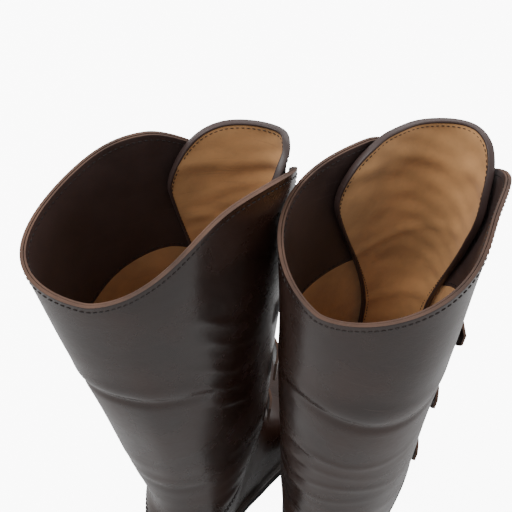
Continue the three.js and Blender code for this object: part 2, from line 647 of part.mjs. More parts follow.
function makeClosure(boot, names, z, standout) {
  const angleAt = strapAngles(boot, z);
  const frame = buckleFrame(boot, z);
  const lift = strapLift(standout);
  // strap
  const root = rad(STRAP_ROOT_ANGLE);
  let rootS = 0;
  let angle = rad(-BUCKLE_ANGLE);
  while (angle > root - 2 * Math.PI) {
    rootS -= shaftPoint(boot, angle, z).distanceTo(shaftPoint(boot, angle - rad(1), z));
    angle -= rad(1);
  }
  const tipStart = TIP_REACH - STRAP_WIDTH * 0.45;
  const pointed = (s) => (s < tipStart ? 1 : lerp(1, 0.35, ((s - tipStart) / (TIP_REACH - tipStart)) ** 2));
  const long = strip(boot, z, rootS, STRAP_JOIN[1], 15, STRAP_WIDTH, STRAP, () => STRAP_LIFT);
  const near = strip(boot, z, STRAP_JOIN[0], TIP_REACH, 26, STRAP_WIDTH, STRAP, lift, pointed);
  const prongGap = PRONG_WIDTH + 2 * PRONG_PLAY;
  const slot = new THREE.BoxGeometry(PRONG_HOLE[1] - PRONG_HOLE[0], prongGap, 16);
  slot.translate((PRONG_HOLE[0] + PRONG_HOLE[1]) / 2, 0, 2);
  const strap = long.add(near).subtract(seat(slot, frame));
  // chape
  const leaf = strip(boot, z, HEEL_BAR_S - 1, CHAPE_REACH, 6, STRAP_WIDTH - 2, CHAPE, () => STRAP_LIFT);
  const ring = new THREE.Shape().absarc(0, 0, loopOuter, 0, 2 * Math.PI);
  ring.holes.push(new THREE.Path().absarc(0, 0, loopOuter - CHAPE, 0, 2 * Math.PI));
  const loop = seat(acrossStrap(ring, STRAP_WIDTH - 2), frame);
  const bore = new THREE.Shape().absarc(0, 0, loopOuter - CHAPE, 0, 2 * Math.PI);
  const prongSlot = new THREE.BoxGeometry(2 * loopOuter + 2, prongGap, 2 * loopOuter + 2);
  const chape = leaf.add(loop)
    .subtract(seat(acrossStrap(bore, STRAP_WIDTH + 4), frame))
    .subtract(seat(prongSlot, frame));
  // frame
  const halfHeight = STRAP_WIDTH / 2 + FRAME_SIDE_GAP;
  const outline = new THREE.Shape();
  roundedBox(outline, -frame.length - BAR / 2, -halfHeight - BAR, BAR / 2, halfHeight + BAR, 2.4);
  const hole = new THREE.Path();
  roundedBox(hole, -frame.length + BAR / 2, -halfHeight, -BAR / 2, halfHeight, 0.8);
  outline.holes.push(hole);
  const plate = new THREE.ExtrudeGeometry(outline, { depth: BAR, bevelEnabled: false, curveSegments: 3 });
  plate.translate(0, 0, -BAR / 2);
  // prong
  const eye = BAR / Math.SQRT2 + BAR_CLEAR;
  const tip = [-frame.length - BAR / 2 - 1.2, BAR / 2 + FIT + PRONG / 2];
  const arm = new THREE.Shape([
    [0, -1.1],
    [0, 2.6],
    [tip[0] * 0.72, tip[1] + PRONG / 2 + 0.3],
    [tip[0], tip[1] + PRONG * 0.35],
    [tip[0], tip[1] - PRONG / 2],
    [-frame.length + 3.4, tip[1] - PRONG / 2],
    [-6, 0.4],
  ].map(([s, n]) => new THREE.Vector2(s, n)));
  const eyeDisc = new THREE.Shape().absarc(0, 0, eye + 1.25, 0, 2 * Math.PI);
  const eyeBore = new THREE.Shape().absarc(0, 0, eye, 0, 2 * Math.PI);
  const prong = seat(acrossStrap(arm, PRONG_WIDTH), frame)
    .add(seat(acrossStrap(eyeDisc, PRONG_WIDTH), frame))
    .subtract(seat(acrossStrap(eyeBore, PRONG_WIDTH + 4), frame));
  // keeper
  const seatK = surfaceFrame(boot, z, angleAt(KEEPER_S));
  const side = STRAP_WIDTH / 2 + 0.6;
  const roof = STRAP_LIFT + CHAPE + FIT + 0.2 + STRAP + 0.7;
  const arch = new THREE.Shape([
    [-side - KEEPER, 0.7],
    [-side - KEEPER, roof + KEEPER - 0.8],
    [-side - KEEPER + 0.8, roof + KEEPER],
    [side + KEEPER - 0.8, roof + KEEPER],
    [side + KEEPER, roof + KEEPER - 0.8],
    [side + KEEPER, 0.7],
    [side, 0.7],
    [side, roof],
    [-side, roof],
    [-side, 0.7],
  ].map(([v, n]) => new THREE.Vector2(v, n)));
  const archGeometry = new THREE.ExtrudeGeometry(arch, { depth: KEEPER_WIDTH, bevelEnabled: false });
  archGeometry.translate(0, 0, -KEEPER_WIDTH / 2);
  archGeometry.applyMatrix4(new THREE.Matrix4().makeBasis(
    new THREE.Vector3(0, 1, 0), new THREE.Vector3(0, 0, 1), new THREE.Vector3(1, 0, 0)));
  return {
    [names[0]]: [strap, 'strap'],
    [names[1]]: [chape, 'strap'],
    [names[2]]: [seat(plate, frame), 'steel'],
    [names[3]]: [prong, 'steel'],
    [names[4]]: [seat(archGeometry, seatK), 'strap'],
  };
}

function roundedBox(path, x0, y0, x1, y1, r) {
  path.moveTo(x0 + r, y0);
  path.lineTo(x1 - r, y0);
  path.absarc(x1 - r, y0 + r, r, -Math.PI / 2, 0);
  path.lineTo(x1, y1 - r);
  path.absarc(x1 - r, y1 - r, r, 0, Math.PI / 2);
  path.lineTo(x0 + r, y1);
  path.absarc(x0 + r, y1 - r, r, Math.PI / 2, Math.PI);
  path.lineTo(x0, y0 + r);
  path.absarc(x0 + r, y0 + r, r, Math.PI, 1.5 * Math.PI);
}

// ---- a boot ----
function makeBoot(side) {
  const boot = BOOTS[side];
  const name = (piece) => `${side}_${piece}`;
  const named = (list) => Object.fromEntries(list.map((piece) => [piece, name(piece)]));
  const upperNames = ['shaft', 'vamp', 'counter_cover', 'toe_puff', 'heel_counter', 'lining'];
  const bottomNames = ['outsole', 'welt', 'shank', 'insole', 'sock_lining', 'heel_stack', 'heel_tip'];
  const { cavity, ...upper } = makeUpper(boot, named(upperNames));
  const pieces = {
    ...upper,
    ...makeBottom(cavity, named(bottomNames)),
    ...makeTongue(boot, named(['tongue', 'tongue_lining'])),
  };
  STRAP_HEIGHTS.forEach((z, index) => {
    const place = ['top', 'middle', 'low'][index];
    const names = ['strap', 'chape', 'buckle', 'prong', 'keeper'].map((piece) => name(`${place}_${piece}`));
    Object.assign(pieces, makeClosure(boot, names, z, TIP_STANDOUT[index]));
  });
  const group = new THREE.Group();
  for (const [key, [solid, material]] of Object.entries(pieces)) {
    const geometry = geometryOf(solid);
    const mesh = new THREE.Mesh(geometry, materials[material]);
    mesh.name = key;
    group.add(mesh);
  }
  group.scale.x = boot.inner;
  return group;
}

const pair = new THREE.Group();
const left = makeBoot('left');
const right = makeBoot('right');
left.position.set(-SPACING / 2, -STAGGER / 2, 0);
right.position.set(SPACING / 2, STAGGER / 2, 0);
pair.add(left, right);
pair.updateMatrixWorld(true);
const box = new THREE.Box3().setFromObject(pair, true);
const centre = box.getCenter(new THREE.Vector3());
pair.position.set(-centre.x, -centre.y, -box.min.z);

export default pair;
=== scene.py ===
"""Tall strap-and-buckle riding boots: sewn leather uppers, tongues, soles, straps and buckles.

Each boot is drawn in millimetres in its own frame, x toward the inner side of the leg, y toward
the toes and z up from the floor, with the middle of the ankle at x = 0, y = 0.
"""

import math

import bmesh
import bpy
import numpy as np
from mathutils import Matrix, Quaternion, Vector


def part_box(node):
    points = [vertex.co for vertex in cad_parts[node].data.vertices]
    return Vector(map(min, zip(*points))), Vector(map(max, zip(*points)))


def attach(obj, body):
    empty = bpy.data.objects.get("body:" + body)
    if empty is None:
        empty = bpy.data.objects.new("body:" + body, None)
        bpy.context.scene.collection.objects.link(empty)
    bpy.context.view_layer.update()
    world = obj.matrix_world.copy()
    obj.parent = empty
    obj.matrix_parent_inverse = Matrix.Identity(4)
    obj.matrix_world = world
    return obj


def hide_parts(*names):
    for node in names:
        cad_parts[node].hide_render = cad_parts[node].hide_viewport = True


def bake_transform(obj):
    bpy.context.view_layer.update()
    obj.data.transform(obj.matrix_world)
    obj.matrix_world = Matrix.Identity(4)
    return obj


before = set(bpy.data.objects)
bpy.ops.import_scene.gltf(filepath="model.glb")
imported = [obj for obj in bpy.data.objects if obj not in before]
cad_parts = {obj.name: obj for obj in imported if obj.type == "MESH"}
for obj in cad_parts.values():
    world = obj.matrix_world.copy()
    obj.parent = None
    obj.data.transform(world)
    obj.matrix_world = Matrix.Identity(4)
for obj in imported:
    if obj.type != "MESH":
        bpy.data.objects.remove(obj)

bl_info = {
    "name": "Riding Boots",
    "version": (1, 0, 0),
    "blender": (4, 5, 0),
    "location": "3D View > Sidebar > Boots",
    "description": "Builds a pair of tall strap-and-buckle riding boots",
    "category": "Add Mesh",
}

SIDES = ("left", "right")
PLACES = ("top", "middle", "low")

# Heights and reaches that the solids share, in mm
ANKLE_Z, RIM_Z, SHAFT_FOOT_Z, THROAT_Z = 115.0, 400.0, 171.0, 184.0
ANKLE_HALF = (43.0, 54.0)
TOP_HALF = (48.9, 73.6)
EARS = ((49.3, 118.4), (51.3, 134.6))  # height and place of the inner and outer ear
SOLE_Y = (-80.0, 212.0)
HEEL, BREAST_Y, BALL_Y, SPRING_Y = 24.0, -6.0, 66.0, 150.0
UPPER_LOW = 10.1  # lower edge of the upper over the outsole's underside
LIFT = 0.007 * TOP_HALF[1]
STRAP, STRAP_WIDTH, CHAPE, BAR = 2.0, 22.0, 1.4, 2.8
LOOP_OUTER = BAR / math.sqrt(2) + 0.2 + CHAPE
FAR_BAR_S, HEEL_BAR_S, KEEPER_S, CHAPE_REACH, TIP_REACH = -11.0, 10.0, 29.0, 36.0, 47.0
ROOT_ANGLE, BUCKLE_ANGLE = 126 - 360, -165  # a strap's sewn end and its buckle, degrees round from the back
FAR_BAR_LIFT = LIFT + STRAP + 0.045 * STRAP_WIDTH + BAR / 2
STRAP_HEIGHTS = dict(zip(PLACES, (316.0, 250.0, 186.0)))
TIP_STANDOUT = dict(zip(PLACES, (5.0, 1.0, 1.0)))
TONGUE_FOOT_Z, TONGUE_TOP_Z = 174.0, 455.3
TONGUE_INSET = 3.3 + 0.037 * TOP_HALF[1]
FACING = 95.0  # depth of the dark band inside the top
LEATHER, LINING, LAYER_INSET = 1.9, 1.1, 2.2
OPENING_FOOT, OPENING_SPREAD = 24.0, 20.0  # width of the front opening at its foot, and what it gains
SEAM_GAP = 0.15
STITCH_RISE, RIM_STITCH, INNER_STITCH = 0.12, 4.0, 3.42
PRONG_SLOT, HOLE_RADIUS = 1.9, 1.5
PUNCHED_S = (-36, -26, 39)
BINDING = (1.0, 2.2)


def smooth(value):
    t = np.clip(value, 0.0, 1.0)
    return t * t * (3 - 2 * t)


def bump(value, middle, width):
    return np.exp(-(((value - middle) / width) ** 2))


# ---- the boot's form ----
SOLE_EDGE = np.array([
    (-80, 6, 6), (-75, 21, 21), (-62, 31, 32), (-40, 37, 37), (-10, 35, 37), (25, 31, 36),
    (60, 36, 40), (95, 46, 44.5), (125, 51, 46), (155, 49, 43), (180, 39, 34), (198, 26, 22),
    (208, 13, 11), (212, 4, 4),
], float)


def sole_edge(y, side):
    column = 1 if side > 0 else 2
    high = np.clip(np.searchsorted(SOLE_EDGE[:, 0], y), 1, len(SOLE_EDGE) - 1)
    low, before, after = high - 1, np.maximum(high - 2, 0), np.minimum(high + 1, len(SOLE_EDGE) - 1)
    ys, ws = SOLE_EDGE[:, 0], SOLE_EDGE[:, column]
    span = ys[high] - ys[low]
    t = np.clip((y - ys[low]) / span, 0, 1)
    slope_low = (ws[high] - ws[before]) / (ys[high] - ys[before]) * span
    slope_high = (ws[after] - ws[low]) / (ys[after] - ys[low]) * span
    return ((2 * t**3 - 3 * t**2 + 1) * ws[low] + (t**3 - 2 * t**2 + t) * slope_low
            + (3 * t**2 - 2 * t**3) * ws[high] + (t**3 - t**2) * slope_high)


def sole_under(y):
    waist = HEEL * (1 - smooth((y - BREAST_Y) / (BALL_Y - BREAST_Y)))
    spring = 8 * np.clip((y - SPRING_Y) / (SOLE_Y[1] - SPRING_Y), 0, 1) ** 2
    return np.where(y < BALL_Y, waist, spring)


def sole_middle(y):
    at = np.clip(y, SOLE_Y[0] + 8, SOLE_Y[1] - 8)
    return (sole_edge(at, 1) - sole_edge(at, -1)) / 2


SINK = 6.0
# Sections of the foot, toe to ankle: top y, z; bottom y, z (None: under the sole line); half width; boxiness
SECTIONS = (
    (204, 33, 206, 16, 13, 0.2), (196, 47, 201, None, 28, 0.4), (180, 57, 186, None, 38, 0.5),
    (150, 66, 152, None, 44, 0.5), (122, 76, 122, None, 44.5, 0.5), (98, 90, 86, None, 39.5, 0.5),
    (80, 110, 42, None, 33, 0.45), (67, 129, 0, None, 32, 0.4), (60, 143, -48, None, 33.5, 0.35),
    (57.5, 151, -76, 46, 35, 0.15), (56.4, 158, -70, 92, 39, 0), (55.5, 163, -60, 128, 42.3, 0),
)
LEVELLING = 7


class Boot:
    """Form of one boot, in its own frame."""

    def __init__(self, side, inner, lean, slim, turn, lobe, front, tongue_axis, tongue_half):
        self.side, self.inner, self.lean, self.slim = side, inner, lean, slim
        self.turn, self.lobe, self.front = math.radians(turn), lobe, front
        self.tongue_axis, self.tongue_half = tongue_axis, tongue_half
        low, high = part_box(f"{side}_outsole")
        wide = 1000 * (high.x - low.x)
        inner_share = sole_edge(np.array([115.0]), 1)[0] / (
            sole_edge(np.array([115.0]), 1)[0] + sole_edge(np.array([115.0]), -1)[0])
        share = 1 - inner_share if inner > 0 else inner_share
        self.ox = 1000 * low.x + share * wide
        self.oy = 1000 * low.y - SOLE_Y[0]

    def world(self, points):
        """Points of this boot's frame, in metres in the solids' frame."""
        p = np.asarray(points, float).reshape(-1, 3)
        return np.stack([self.ox + self.inner * p[:, 0], self.oy + p[:, 1], p[:, 2]], 1) / 1000

    def turned(self, vectors):
        return np.asarray(vectors, float).reshape(-1, 3) * (self.inner, 1, 1)

    def part(self, z):
        return (z - ANKLE_Z) / (RIM_Z - ANKLE_Z)

    def radius(self, angle, part):
        low = 1 / np.hypot(np.sin(angle) / ANKLE_HALF[0], np.cos(angle) / ANKLE_HALF[1])
        turned = angle - self.turn
        wide = np.hypot(np.sin(turned) / (TOP_HALF[0] - self.slim),
                        np.cos(turned) / (TOP_HALF[1] + self.slim))
        lobes = 1 + self.lobe[0] * np.cos(3 * angle) + self.lobe[1] * np.sin(3 * angle)
        return low + (lobes / wide - low) * np.maximum(part, 0) ** 0.85

    def shaft(self, angle, z, outset=0.0):
        """Point on the shaft, angle round from the back toward the inner side."""
        angle, z = np.broadcast_arrays(np.asarray(angle, float), np.asarray(z, float))
        part = self.part(z)
        r = self.radius(angle, part) + outset
        x, y = r * np.sin(angle) + self.lean[0] * part, -r * np.cos(angle) + self.lean[1] * part
        return np.stack([x, y, z], -1)

    def rise(self, angle):
        """Height of the topline over its back."""
        turn = (np.degrees(angle) - self.front + 180) % 360 - 180
        ear = np.where(turn >= 0, EARS[0][0], EARS[1][0])
        u = np.abs(turn) / np.where(turn >= 0, EARS[0][1], EARS[1][1])
        return np.where(u <= 1, ear * smooth(u) ** 0.72, ear * np.maximum(0, 1 - 5 * (u - 1) ** 2))

    def front_axis(self, z):
        """Middle of the tongue and of the front opening, in radians round from the back."""
        share = smooth((z - TONGUE_FOOT_Z) / (TONGUE_TOP_Z - TONGUE_FOOT_Z))
        return np.radians(180 + (self.tongue_axis - 180) * share)

    def control_rings(self, phi):
        s, c = np.sin(phi), -np.cos(phi)
        rings = []
        for index, (ty, tz, by, bz, half, box) in enumerate(SECTIONS):
            late = min(max((index - LEVELLING) / (len(SECTIONS) - LEVELLING), 0), 1)
            if bz is None:
                bz = float(sole_under(np.array([float(by)]))[0]) - (SINK if index > 1 else 0)
            middle = np.array([(ty + by) / 2, (tz + bz) / 2])
            reach = np.array([(ty - by) / 2, (tz - bz) / 2])
            part = min(max((tz - ANKLE_Z) / (RIM_Z - ANKLE_Z), 0), 1)
            across = float(sole_middle(np.array([middle[0]]))[0]) * (1 - late) + self.lean[0] * part * late
            power = np.where(c < 0, 1 - box, 1 - 0.3 * box)
            side = np.sign(s) * np.abs(s) ** power
            up = np.sign(c) * np.abs(c) ** power
            along, height = middle[0] + reach[0] * up, middle[1] + reach[1] * up
            rings.append(np.stack([across + half * side, along, height], 1))
        toe, centre = rings[0], rings[0].mean(0)
        closing = ((0.0, 4.0), (0.45, 3.4), (0.8, 1.6))
        rings = [centre + (toe - centre) * share + (0, ahead, 0) for share, ahead in closing] + rings
        angle = np.arctan2(ANKLE_HALF[0] * np.sin(phi), ANKLE_HALF[1] * np.cos(phi))
        for z in (SHAFT_FOOT_Z, 182, 194, 210):
            rings.append(self.shaft(angle, z))
        return rings, angle

    def wrinkle(self, angle, z):
        """How far the leather, creased by wear, stands out of its plain form, in mm."""
        a = (np.degrees(angle) + 180) % 360 - 180
        wave = 0.5 * np.sin(0.045 * z + 2.1 * np.sin(np.radians(a * 2 + 40)))
        if self.side == "left":
            out = -1.5 * bump(z, 303 - 0.1 * a, 4.5) * bump(a, -20, 70)
            out += 0.6 * bump(z, 314 - 0.1 * a, 8) * bump(a, -20, 80)
            for k in range(5):
                middle = 366 - 23 * k - 0.55 * (a - 60) + 3 * np.sin(2.1 * k)
                out += 1.15 * bump(z, middle, 4.6) * bump(a, 70 + 6 * np.sin(1.7 * k), 20)
            out += 1.0 * bump(a, 8, 11) * bump(z, 250, 90)
        else:
            out = -1.3 * bump(z, 318 - 0.12 * a + 3 * np.sin(np.radians(3 * a)), 4.5) * bump(a, -10, 75)
            out += 0.7 * bump(z, 330 - 0.12 * a, 9) * bump(a, -10, 75)
            for k in range(4):
                middle = 268 - 17 * k - 0.16 * a + 2.5 * np.sin(np.radians(a * 4 + 70 * k))
                out += 0.55 * bump(z, middle, 3.6) * bump(a, 10 + 22 * (k % 2), 48)
            out += 0.8 * bump(a, 42, 12) * bump(z, 330, 80)
        for k in range(5):
            tilt = 5.5 * np.sin(np.radians(a * 1.5 + 60 * k))
            out += ((1.4 - 0.15 * k) * np.sin((z - 128 - 17 * k + tilt) / 6.2)
                    * bump(z, 132 + 16 * k + tilt, 13)
                    * (0.45 + 0.55 * bump(np.abs(a), 180, 70)) * smooth((z - 108) / 16))
        return (out + wave) * smooth((z - 104) / 20)


BOOTS = {
    "left": Boot("left", 1, (-7.5, -38.3), 6.4, -35.9, (0.003, 0.036), -8.9, 155.5, 66),
    "right": Boot("right", -1, (2.3, -7.3), -2.9, 17.4, (-0.066, -0.069), 18.7, 177.5, 73),
}
ANKLE_SEAM = np.array([(-260, 100), (-62, 100), (-20, 116), (28, 128), (62, 134), (260, 134)], float)
SIDE_SEAM = np.array([(-2, -10), (8, 60), (30, 150)], float)


# ---- grids ----
def grid_normals(points, closed):
    """Normals of a (rows, columns, 3) grid of points; columns may close on themselves."""
    if closed:
        across = np.roll(points, -1, 1) - np.roll(points, 1, 1)
    else:
        across = np.gradient(points, axis=1)
    along = np.gradient(points, axis=0)
    normal = np.cross(across, along)
    return normal / np.maximum(np.linalg.norm(normal, axis=2, keepdims=True), 1e-9)


def spline_rows(rings, per):
    """Rows through control rings, Catmull-Rom, with per steps between two rings."""
    rings = np.array(rings)
    rows = []
    for i in range(len(rings) - 1):
        a = rings[max(i - 1, 0)]
        b, c = rings[i], rings[i + 1]
        d = rings[min(i + 2, len(rings) - 1)]
        for k in range(per):
            t = k / per
            rows.append(0.5 * (2 * b + (c - a) * t + (2 * a - 5 * b + 4 * c - d) * t**2
                               + (3 * b - a - 3 * c + d) * t**3))
    rows.append(rings[-1])
    return np.array(rows)


def skin_of(boot):
    """Outer face of a whole upper as a grid of points, normals and where each point lies."""
    count = 288
    phi = np.linspace(0, 2 * np.pi, count, endpoint=False)
    rings, angle = boot.control_rings(phi)
    foot = spline_rows(rings, 9)
    top = RIM_Z + boot.rise(angle)
    steps = 150
    share = np.linspace(0, 1, steps + 1)[1:, None]
    z = 210 + (top[None] - 210) * share
    shaft = boot.shaft(np.broadcast_to(angle, z.shape), z)
    points = np.concatenate([foot, shaft])
    where = np.arctan2(points[..., 0] - boot.lean[0] * np.clip(boot.part(points[..., 2]), 0, 2),
                       -(points[..., 1] - boot.lean[1] * np.clip(boot.part(points[..., 2]), 0, 2)))
    normal = grid_normals(points, True)
    points = points + normal * boot.wrinkle(where, points[..., 2])[..., None]
    return {"points": points, "normal": grid_normals(points, True), "angle": where,
            "drop": np.concatenate([(top[None] - foot[..., 2]), top[None] - z])}


SKINS = {side: skin_of(boot) for side, boot in BOOTS.items()}


def grid_faces(rows, columns, closed):
    i, j = np.meshgrid(np.arange(rows - 1), np.arange(columns if closed else columns - 1), indexing="ij")
    k = (j + 1) % columns
    low, high = i * columns, (i + 1) * columns
    return np.stack([low + j, low + k, high + k, high + j], -1).reshape(-1, 4)


def clip(values, faces, field):
    """Keeps the side of the faces where a field, one column of values, is positive."""
    f = values[:, field]
    f = np.where(np.abs(f) < 1e-6, 1e-6, f)
    rows = [np.asarray(face) for face in faces] if not isinstance(faces, np.ndarray) else faces
    added, made, kept = [], {}, []

    def crossing(a, b):
        key = (a, b) if a < b else (b, a)
        if key not in made:
            t = f[key[0]] / (f[key[0]] - f[key[1]])
            made[key] = len(values) + len(added)
            point = values[key[0]] + (values[key[1]] - values[key[0]]) * t
            point[field] = 0
            added.append(point)
        return made[key]

    for face in rows:
        inside = f[face] > 0
        if inside.all():
            kept.append(tuple(int(v) for v in face))
        elif inside.any():
            ring = []
            for n, v in enumerate(face):
                w = face[(n + 1) % len(face)]
                if f[v] > 0:
                    ring.append(int(v))
                if (f[v] > 0) != (f[w] > 0):
                    ring.append(crossing(int(v), int(w)))
            if len(ring) > 2:
                kept.append(tuple(ring))
    return (np.vstack([values, added]) if added else values), kept


def prune(values, faces):
    used = sorted({v for face in faces for v in face})
    place = {v: n for n, v in enumerate(used)}
    return values[used], [tuple(place[v] for v in face) for face in faces]


# ---- objects ----
def new_object(name, mesh, body, material, nodes=(), rides=True):
    obj = bpy.data.objects.new(name, mesh)
    bpy.context.scene.collection.objects.link(obj)
    for one in material if isinstance(material, (list, tuple)) else [material]:
        if one.name not in [m.name for m in mesh.materials if m]:
            mesh.materials.append(one)
    if nodes:
        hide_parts(*nodes)
    if rides:
        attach(obj, body)
    return obj


def mesh_of(name, points, faces, shade=True):
    mesh = bpy.data.meshes.new(name)
    mesh.from_pydata([tuple(p) for p in points], [], [tuple(int(v) for v in face) for face in faces])
    mesh.validate()
    if shade:
        mesh.shade_smooth()
    return mesh


def finished(mesh, *modifiers):
    """The mesh with modifiers applied, each (type, settings)."""
    holder = bpy.data.objects.new("holder", mesh)
    bpy.context.scene.collection.objects.link(holder)
    for kind, settings in modifiers:
        modifier = holder.modifiers.new(kind, kind)
        for key, value in settings.items():
            setattr(modifier, key, value)
    bpy.context.view_layer.update()
    shape = bpy.data.meshes.new_from_object(holder.evaluated_get(bpy.context.evaluated_depsgraph_get()))
    shape.name = mesh.name
    bpy.data.objects.remove(holder)
    return shape


def shell(name, values, faces, boot, thick, rim, materials, edge=0.00032):
    """A leather piece: a sheet given its thickness inward, with its cut edges rounded."""
    values, faces = prune(values, faces)
    points = boot.world(values[:, :3])
    if boot.inner < 0:
        faces = [face[::-1] for face in faces]
    mesh = mesh_of(name, points, faces)
    for material in materials:
        mesh.materials.append(material)
    return finished(
        mesh,
        ("SOLIDIFY", {"thickness": thick / 1000, "offset": -1.0, "use_even_offset": False,
                      "material_offset_rim": rim}),
        ("BEVEL", {"width": edge, "segments": 2, "limit_method": "ANGLE", "angle_limit": math.radians(50)}),
    )


def tube(name, points, radius, closed=False, sides=10):
    """A round bar along points in metres."""
    p = np.asarray(points, float)
    tangent = (np.roll(p, -1, 0) - np.roll(p, 1, 0)) if closed else np.gradient(p, axis=0)
    tangent /= np.maximum(np.linalg.norm(tangent, axis=1, keepdims=True), 1e-12)
    centre = p.mean(0)
    plane = np.linalg.svd(p - centre)[2][2]
    side = np.cross(tangent, plane)
    side /= np.maximum(np.linalg.norm(side, axis=1, keepdims=True), 1e-12)
    up = np.cross(side, tangent)
    angles = np.linspace(0, 2 * np.pi, sides, endpoint=False)
    rings = p[:, None] + radius * (np.cos(angles)[None, :, None] * side[:, None]
                                   + np.sin(angles)[None, :, None] * up[:, None])
    rows = len(p)
    flat = rings.reshape(-1, 3)
    faces = [tuple(face) for face in grid_faces(rows, sides, True)]
    last = (rows - 1) * sides
    if closed:
        faces += [(last + j, last + (j + 1) % sides, (j + 1) % sides, j) for j in range(sides)]
    else:
        faces += [tuple(range(sides))[::-1], tuple(last + j for j in range(sides))]
    return outward(mesh_of(name, flat, faces))


def outward(mesh):
    bm = bmesh.new()
    bm.from_mesh(mesh)
    bmesh.ops.remove_doubles(bm, verts=bm.verts, dist=1e-7)
    bmesh.ops.recalc_face_normals(bm, faces=bm.faces)
    bm.to_mesh(mesh)
    bm.free()
    mesh.shade_smooth()
    return mesh


def joined(name, meshes):
    """Several meshes as one, each keeping its own materials."""
    holders = []
    for mesh in meshes:
        obj = bpy.data.objects.new(name, mesh)
        bpy.context.scene.collection.objects.link(obj)
        holders.append(obj)
    with bpy.context.temp_override(active_object=holders[0], selected_editable_objects=holders,
                                   selected_objects=holders):
        bpy.ops.object.join()
    mesh = holders[0].data
    bpy.data.objects.remove(holders[0])
    mesh.name = name
    return mesh


# ---- materials ----
def nodes_of(tree):
    """A function that adds a node: an input, by name or as i0, i1, takes a value or a socket."""
    tree.nodes.clear()

    def add(kind, **inputs):
        node = tree.nodes.new(kind)
        for key, value in inputs.items():
            if key.startswith("_"):
                setattr(node, key[1:], value)
                continue
            socket = node.inputs[int(key[1:]) if key[1:].isdigit() else key.replace("_", " ")]
            if isinstance(value, bpy.types.NodeSocket):
                tree.links.new(value, socket)
            else:
                socket.default_value = value
        return node
    return add


def leather_group():
    """Grain, creasing, fine scratches and mottling of leather, all on Object coordinates."""
    group = bpy.data.node_groups.new("Leather Surface", "ShaderNodeTree")
    for name, value in (("Grain Scale", 900.0), ("Scratch", 0.5)):
        socket = group.interface.new_socket(name, in_out="INPUT", socket_type="NodeSocketFloat")
        socket.default_value = value
    for name in ("Height", "Mottle", "Scratches"):
        group.interface.new_socket(name, in_out="OUTPUT", socket_type="NodeSocketFloat")
    add = nodes_of(group)
    given = add("NodeGroupInput").outputs
    place = add("ShaderNodeTexCoord").outputs["Object"]

    def times(first, second):
        return add("ShaderNodeMath", _operation="MULTIPLY", i0=first, i1=second).outputs["Value"]

    def between(low, high, value):
        return add("ShaderNodeMapRange", From_Min=low, From_Max=high, Value=value).outputs["Result"]

    grain = add("ShaderNodeTexVoronoi", _feature="SMOOTH_F1", Smoothness=0.4, Vector=place,
                Scale=given["Grain Scale"])
    broad = add("ShaderNodeTexNoise", Scale=26.0, Detail=4.0, Roughness=0.55, Vector=place).outputs["Fac"]
    stretch = add("ShaderNodeMapping", Rotation=(0.06, -0.09, 0.0), Scale=(24.0, 24.0, 780.0), Vector=place)
    fine = add("ShaderNodeTexNoise", Scale=1.0, Detail=3.0, Roughness=0.6, Vector=stretch.outputs["Vector"])
    patch = add("ShaderNodeTexNoise", Scale=11.0, Detail=2.0, Vector=place)
    lines = times(between(0.6, 0.78, fine.outputs["Fac"]), between(0.42, 0.66, patch.outputs["Fac"]))
    # Line mask: scratches on the upper leathers, creases on the lining; it carves the relief and also drives
    # a colour mix
    scratch_and_crease_lines = times(lines, given["Scratch"])
    height = add("ShaderNodeMath", _operation="ADD", i0=times(grain.outputs["Distance"], 0.05), i1=broad)
    carved = add("ShaderNodeMath", _operation="MULTIPLY_ADD", i0=scratch_and_crease_lines, i1=-0.05,
                 i2=height.outputs["Value"])
    add("NodeGroupOutput", Height=carved.outputs["Value"], Mottle=broad, Scratches=scratch_and_crease_lines)
    return group


def plain(name, colour, roughness, metallic=0.0):
    made = bpy.data.materials.new(name)
    made.use_nodes = True
    add = nodes_of(made.node_tree)
    shader = add("ShaderNodeBsdfPrincipled", Base_Color=(*colour, 1), Roughness=roughness, Metallic=metallic)
    add("ShaderNodeOutputMaterial", Surface=shader.outputs["BSDF"])
    return made, add, shader


def feed(made, shader, **inputs):
    """Links sockets into, or sets values on, the inputs of a material's shader."""
    for key, value in inputs.items():
        socket = shader.inputs[key.replace("_", " ")]
        if isinstance(value, bpy.types.NodeSocket):
            made.node_tree.links.new(value, socket)
        else:
            socket.default_value = value
    return made


def leather(name, dark, light, rough, coat=0.0, relief=0.0006, grain=900.0, scratch=0.5,
            wear_and_crease_shade_tone=(0.3, 0.25, 0.22), sheen=0.0):
    """Leather between two tones, with roughness from rough[0] to rough[1] and an optional polish."""
    made, add, shader = plain(name, light, rough[0])
    surface = add("ShaderNodeGroup", _node_tree=bpy.data.node_groups["Leather Surface"], Grain_Scale=grain,
                  Scratch=scratch).outputs
    spread = add("ShaderNodeMapRange", From_Min=0.34, From_Max=0.68, Value=surface["Mottle"])
    spread = spread.outputs["Result"]
    tone = add("ShaderNodeMix", _data_type="RGBA", Factor=spread, i6=(*dark, 1), i7=(*light, 1))
    # Along the lines the tone moves toward a second tone. On the upper leathers this is a lighter scuff
    # tone, which is real wear. On the lining it is a darker tone, partly burnished wear and partly painted
    # crease shade
    share = add("ShaderNodeMath", _operation="MULTIPLY", i0=surface["Scratches"], i1=0.25)
    wear_and_crease_shade_mix = add("ShaderNodeMix", _data_type="RGBA", Factor=share.outputs["Value"], i6=tone.outputs[2],
                 i7=(*wear_and_crease_shade_tone, 1))
    polish = add("ShaderNodeMapRange", To_Min=rough[0], To_Max=rough[1], Value=spread)
    bumps = add("ShaderNodeBump", Strength=1.0, Distance=relief, Height=surface["Height"])
    return feed(made, shader, Base_Color=wear_and_crease_shade_mix.outputs[2], Roughness=polish.outputs["Result"],
                Normal=bumps.outputs["Normal"], Coat_Weight=coat, Coat_Roughness=0.16, Sheen_Weight=sheen)


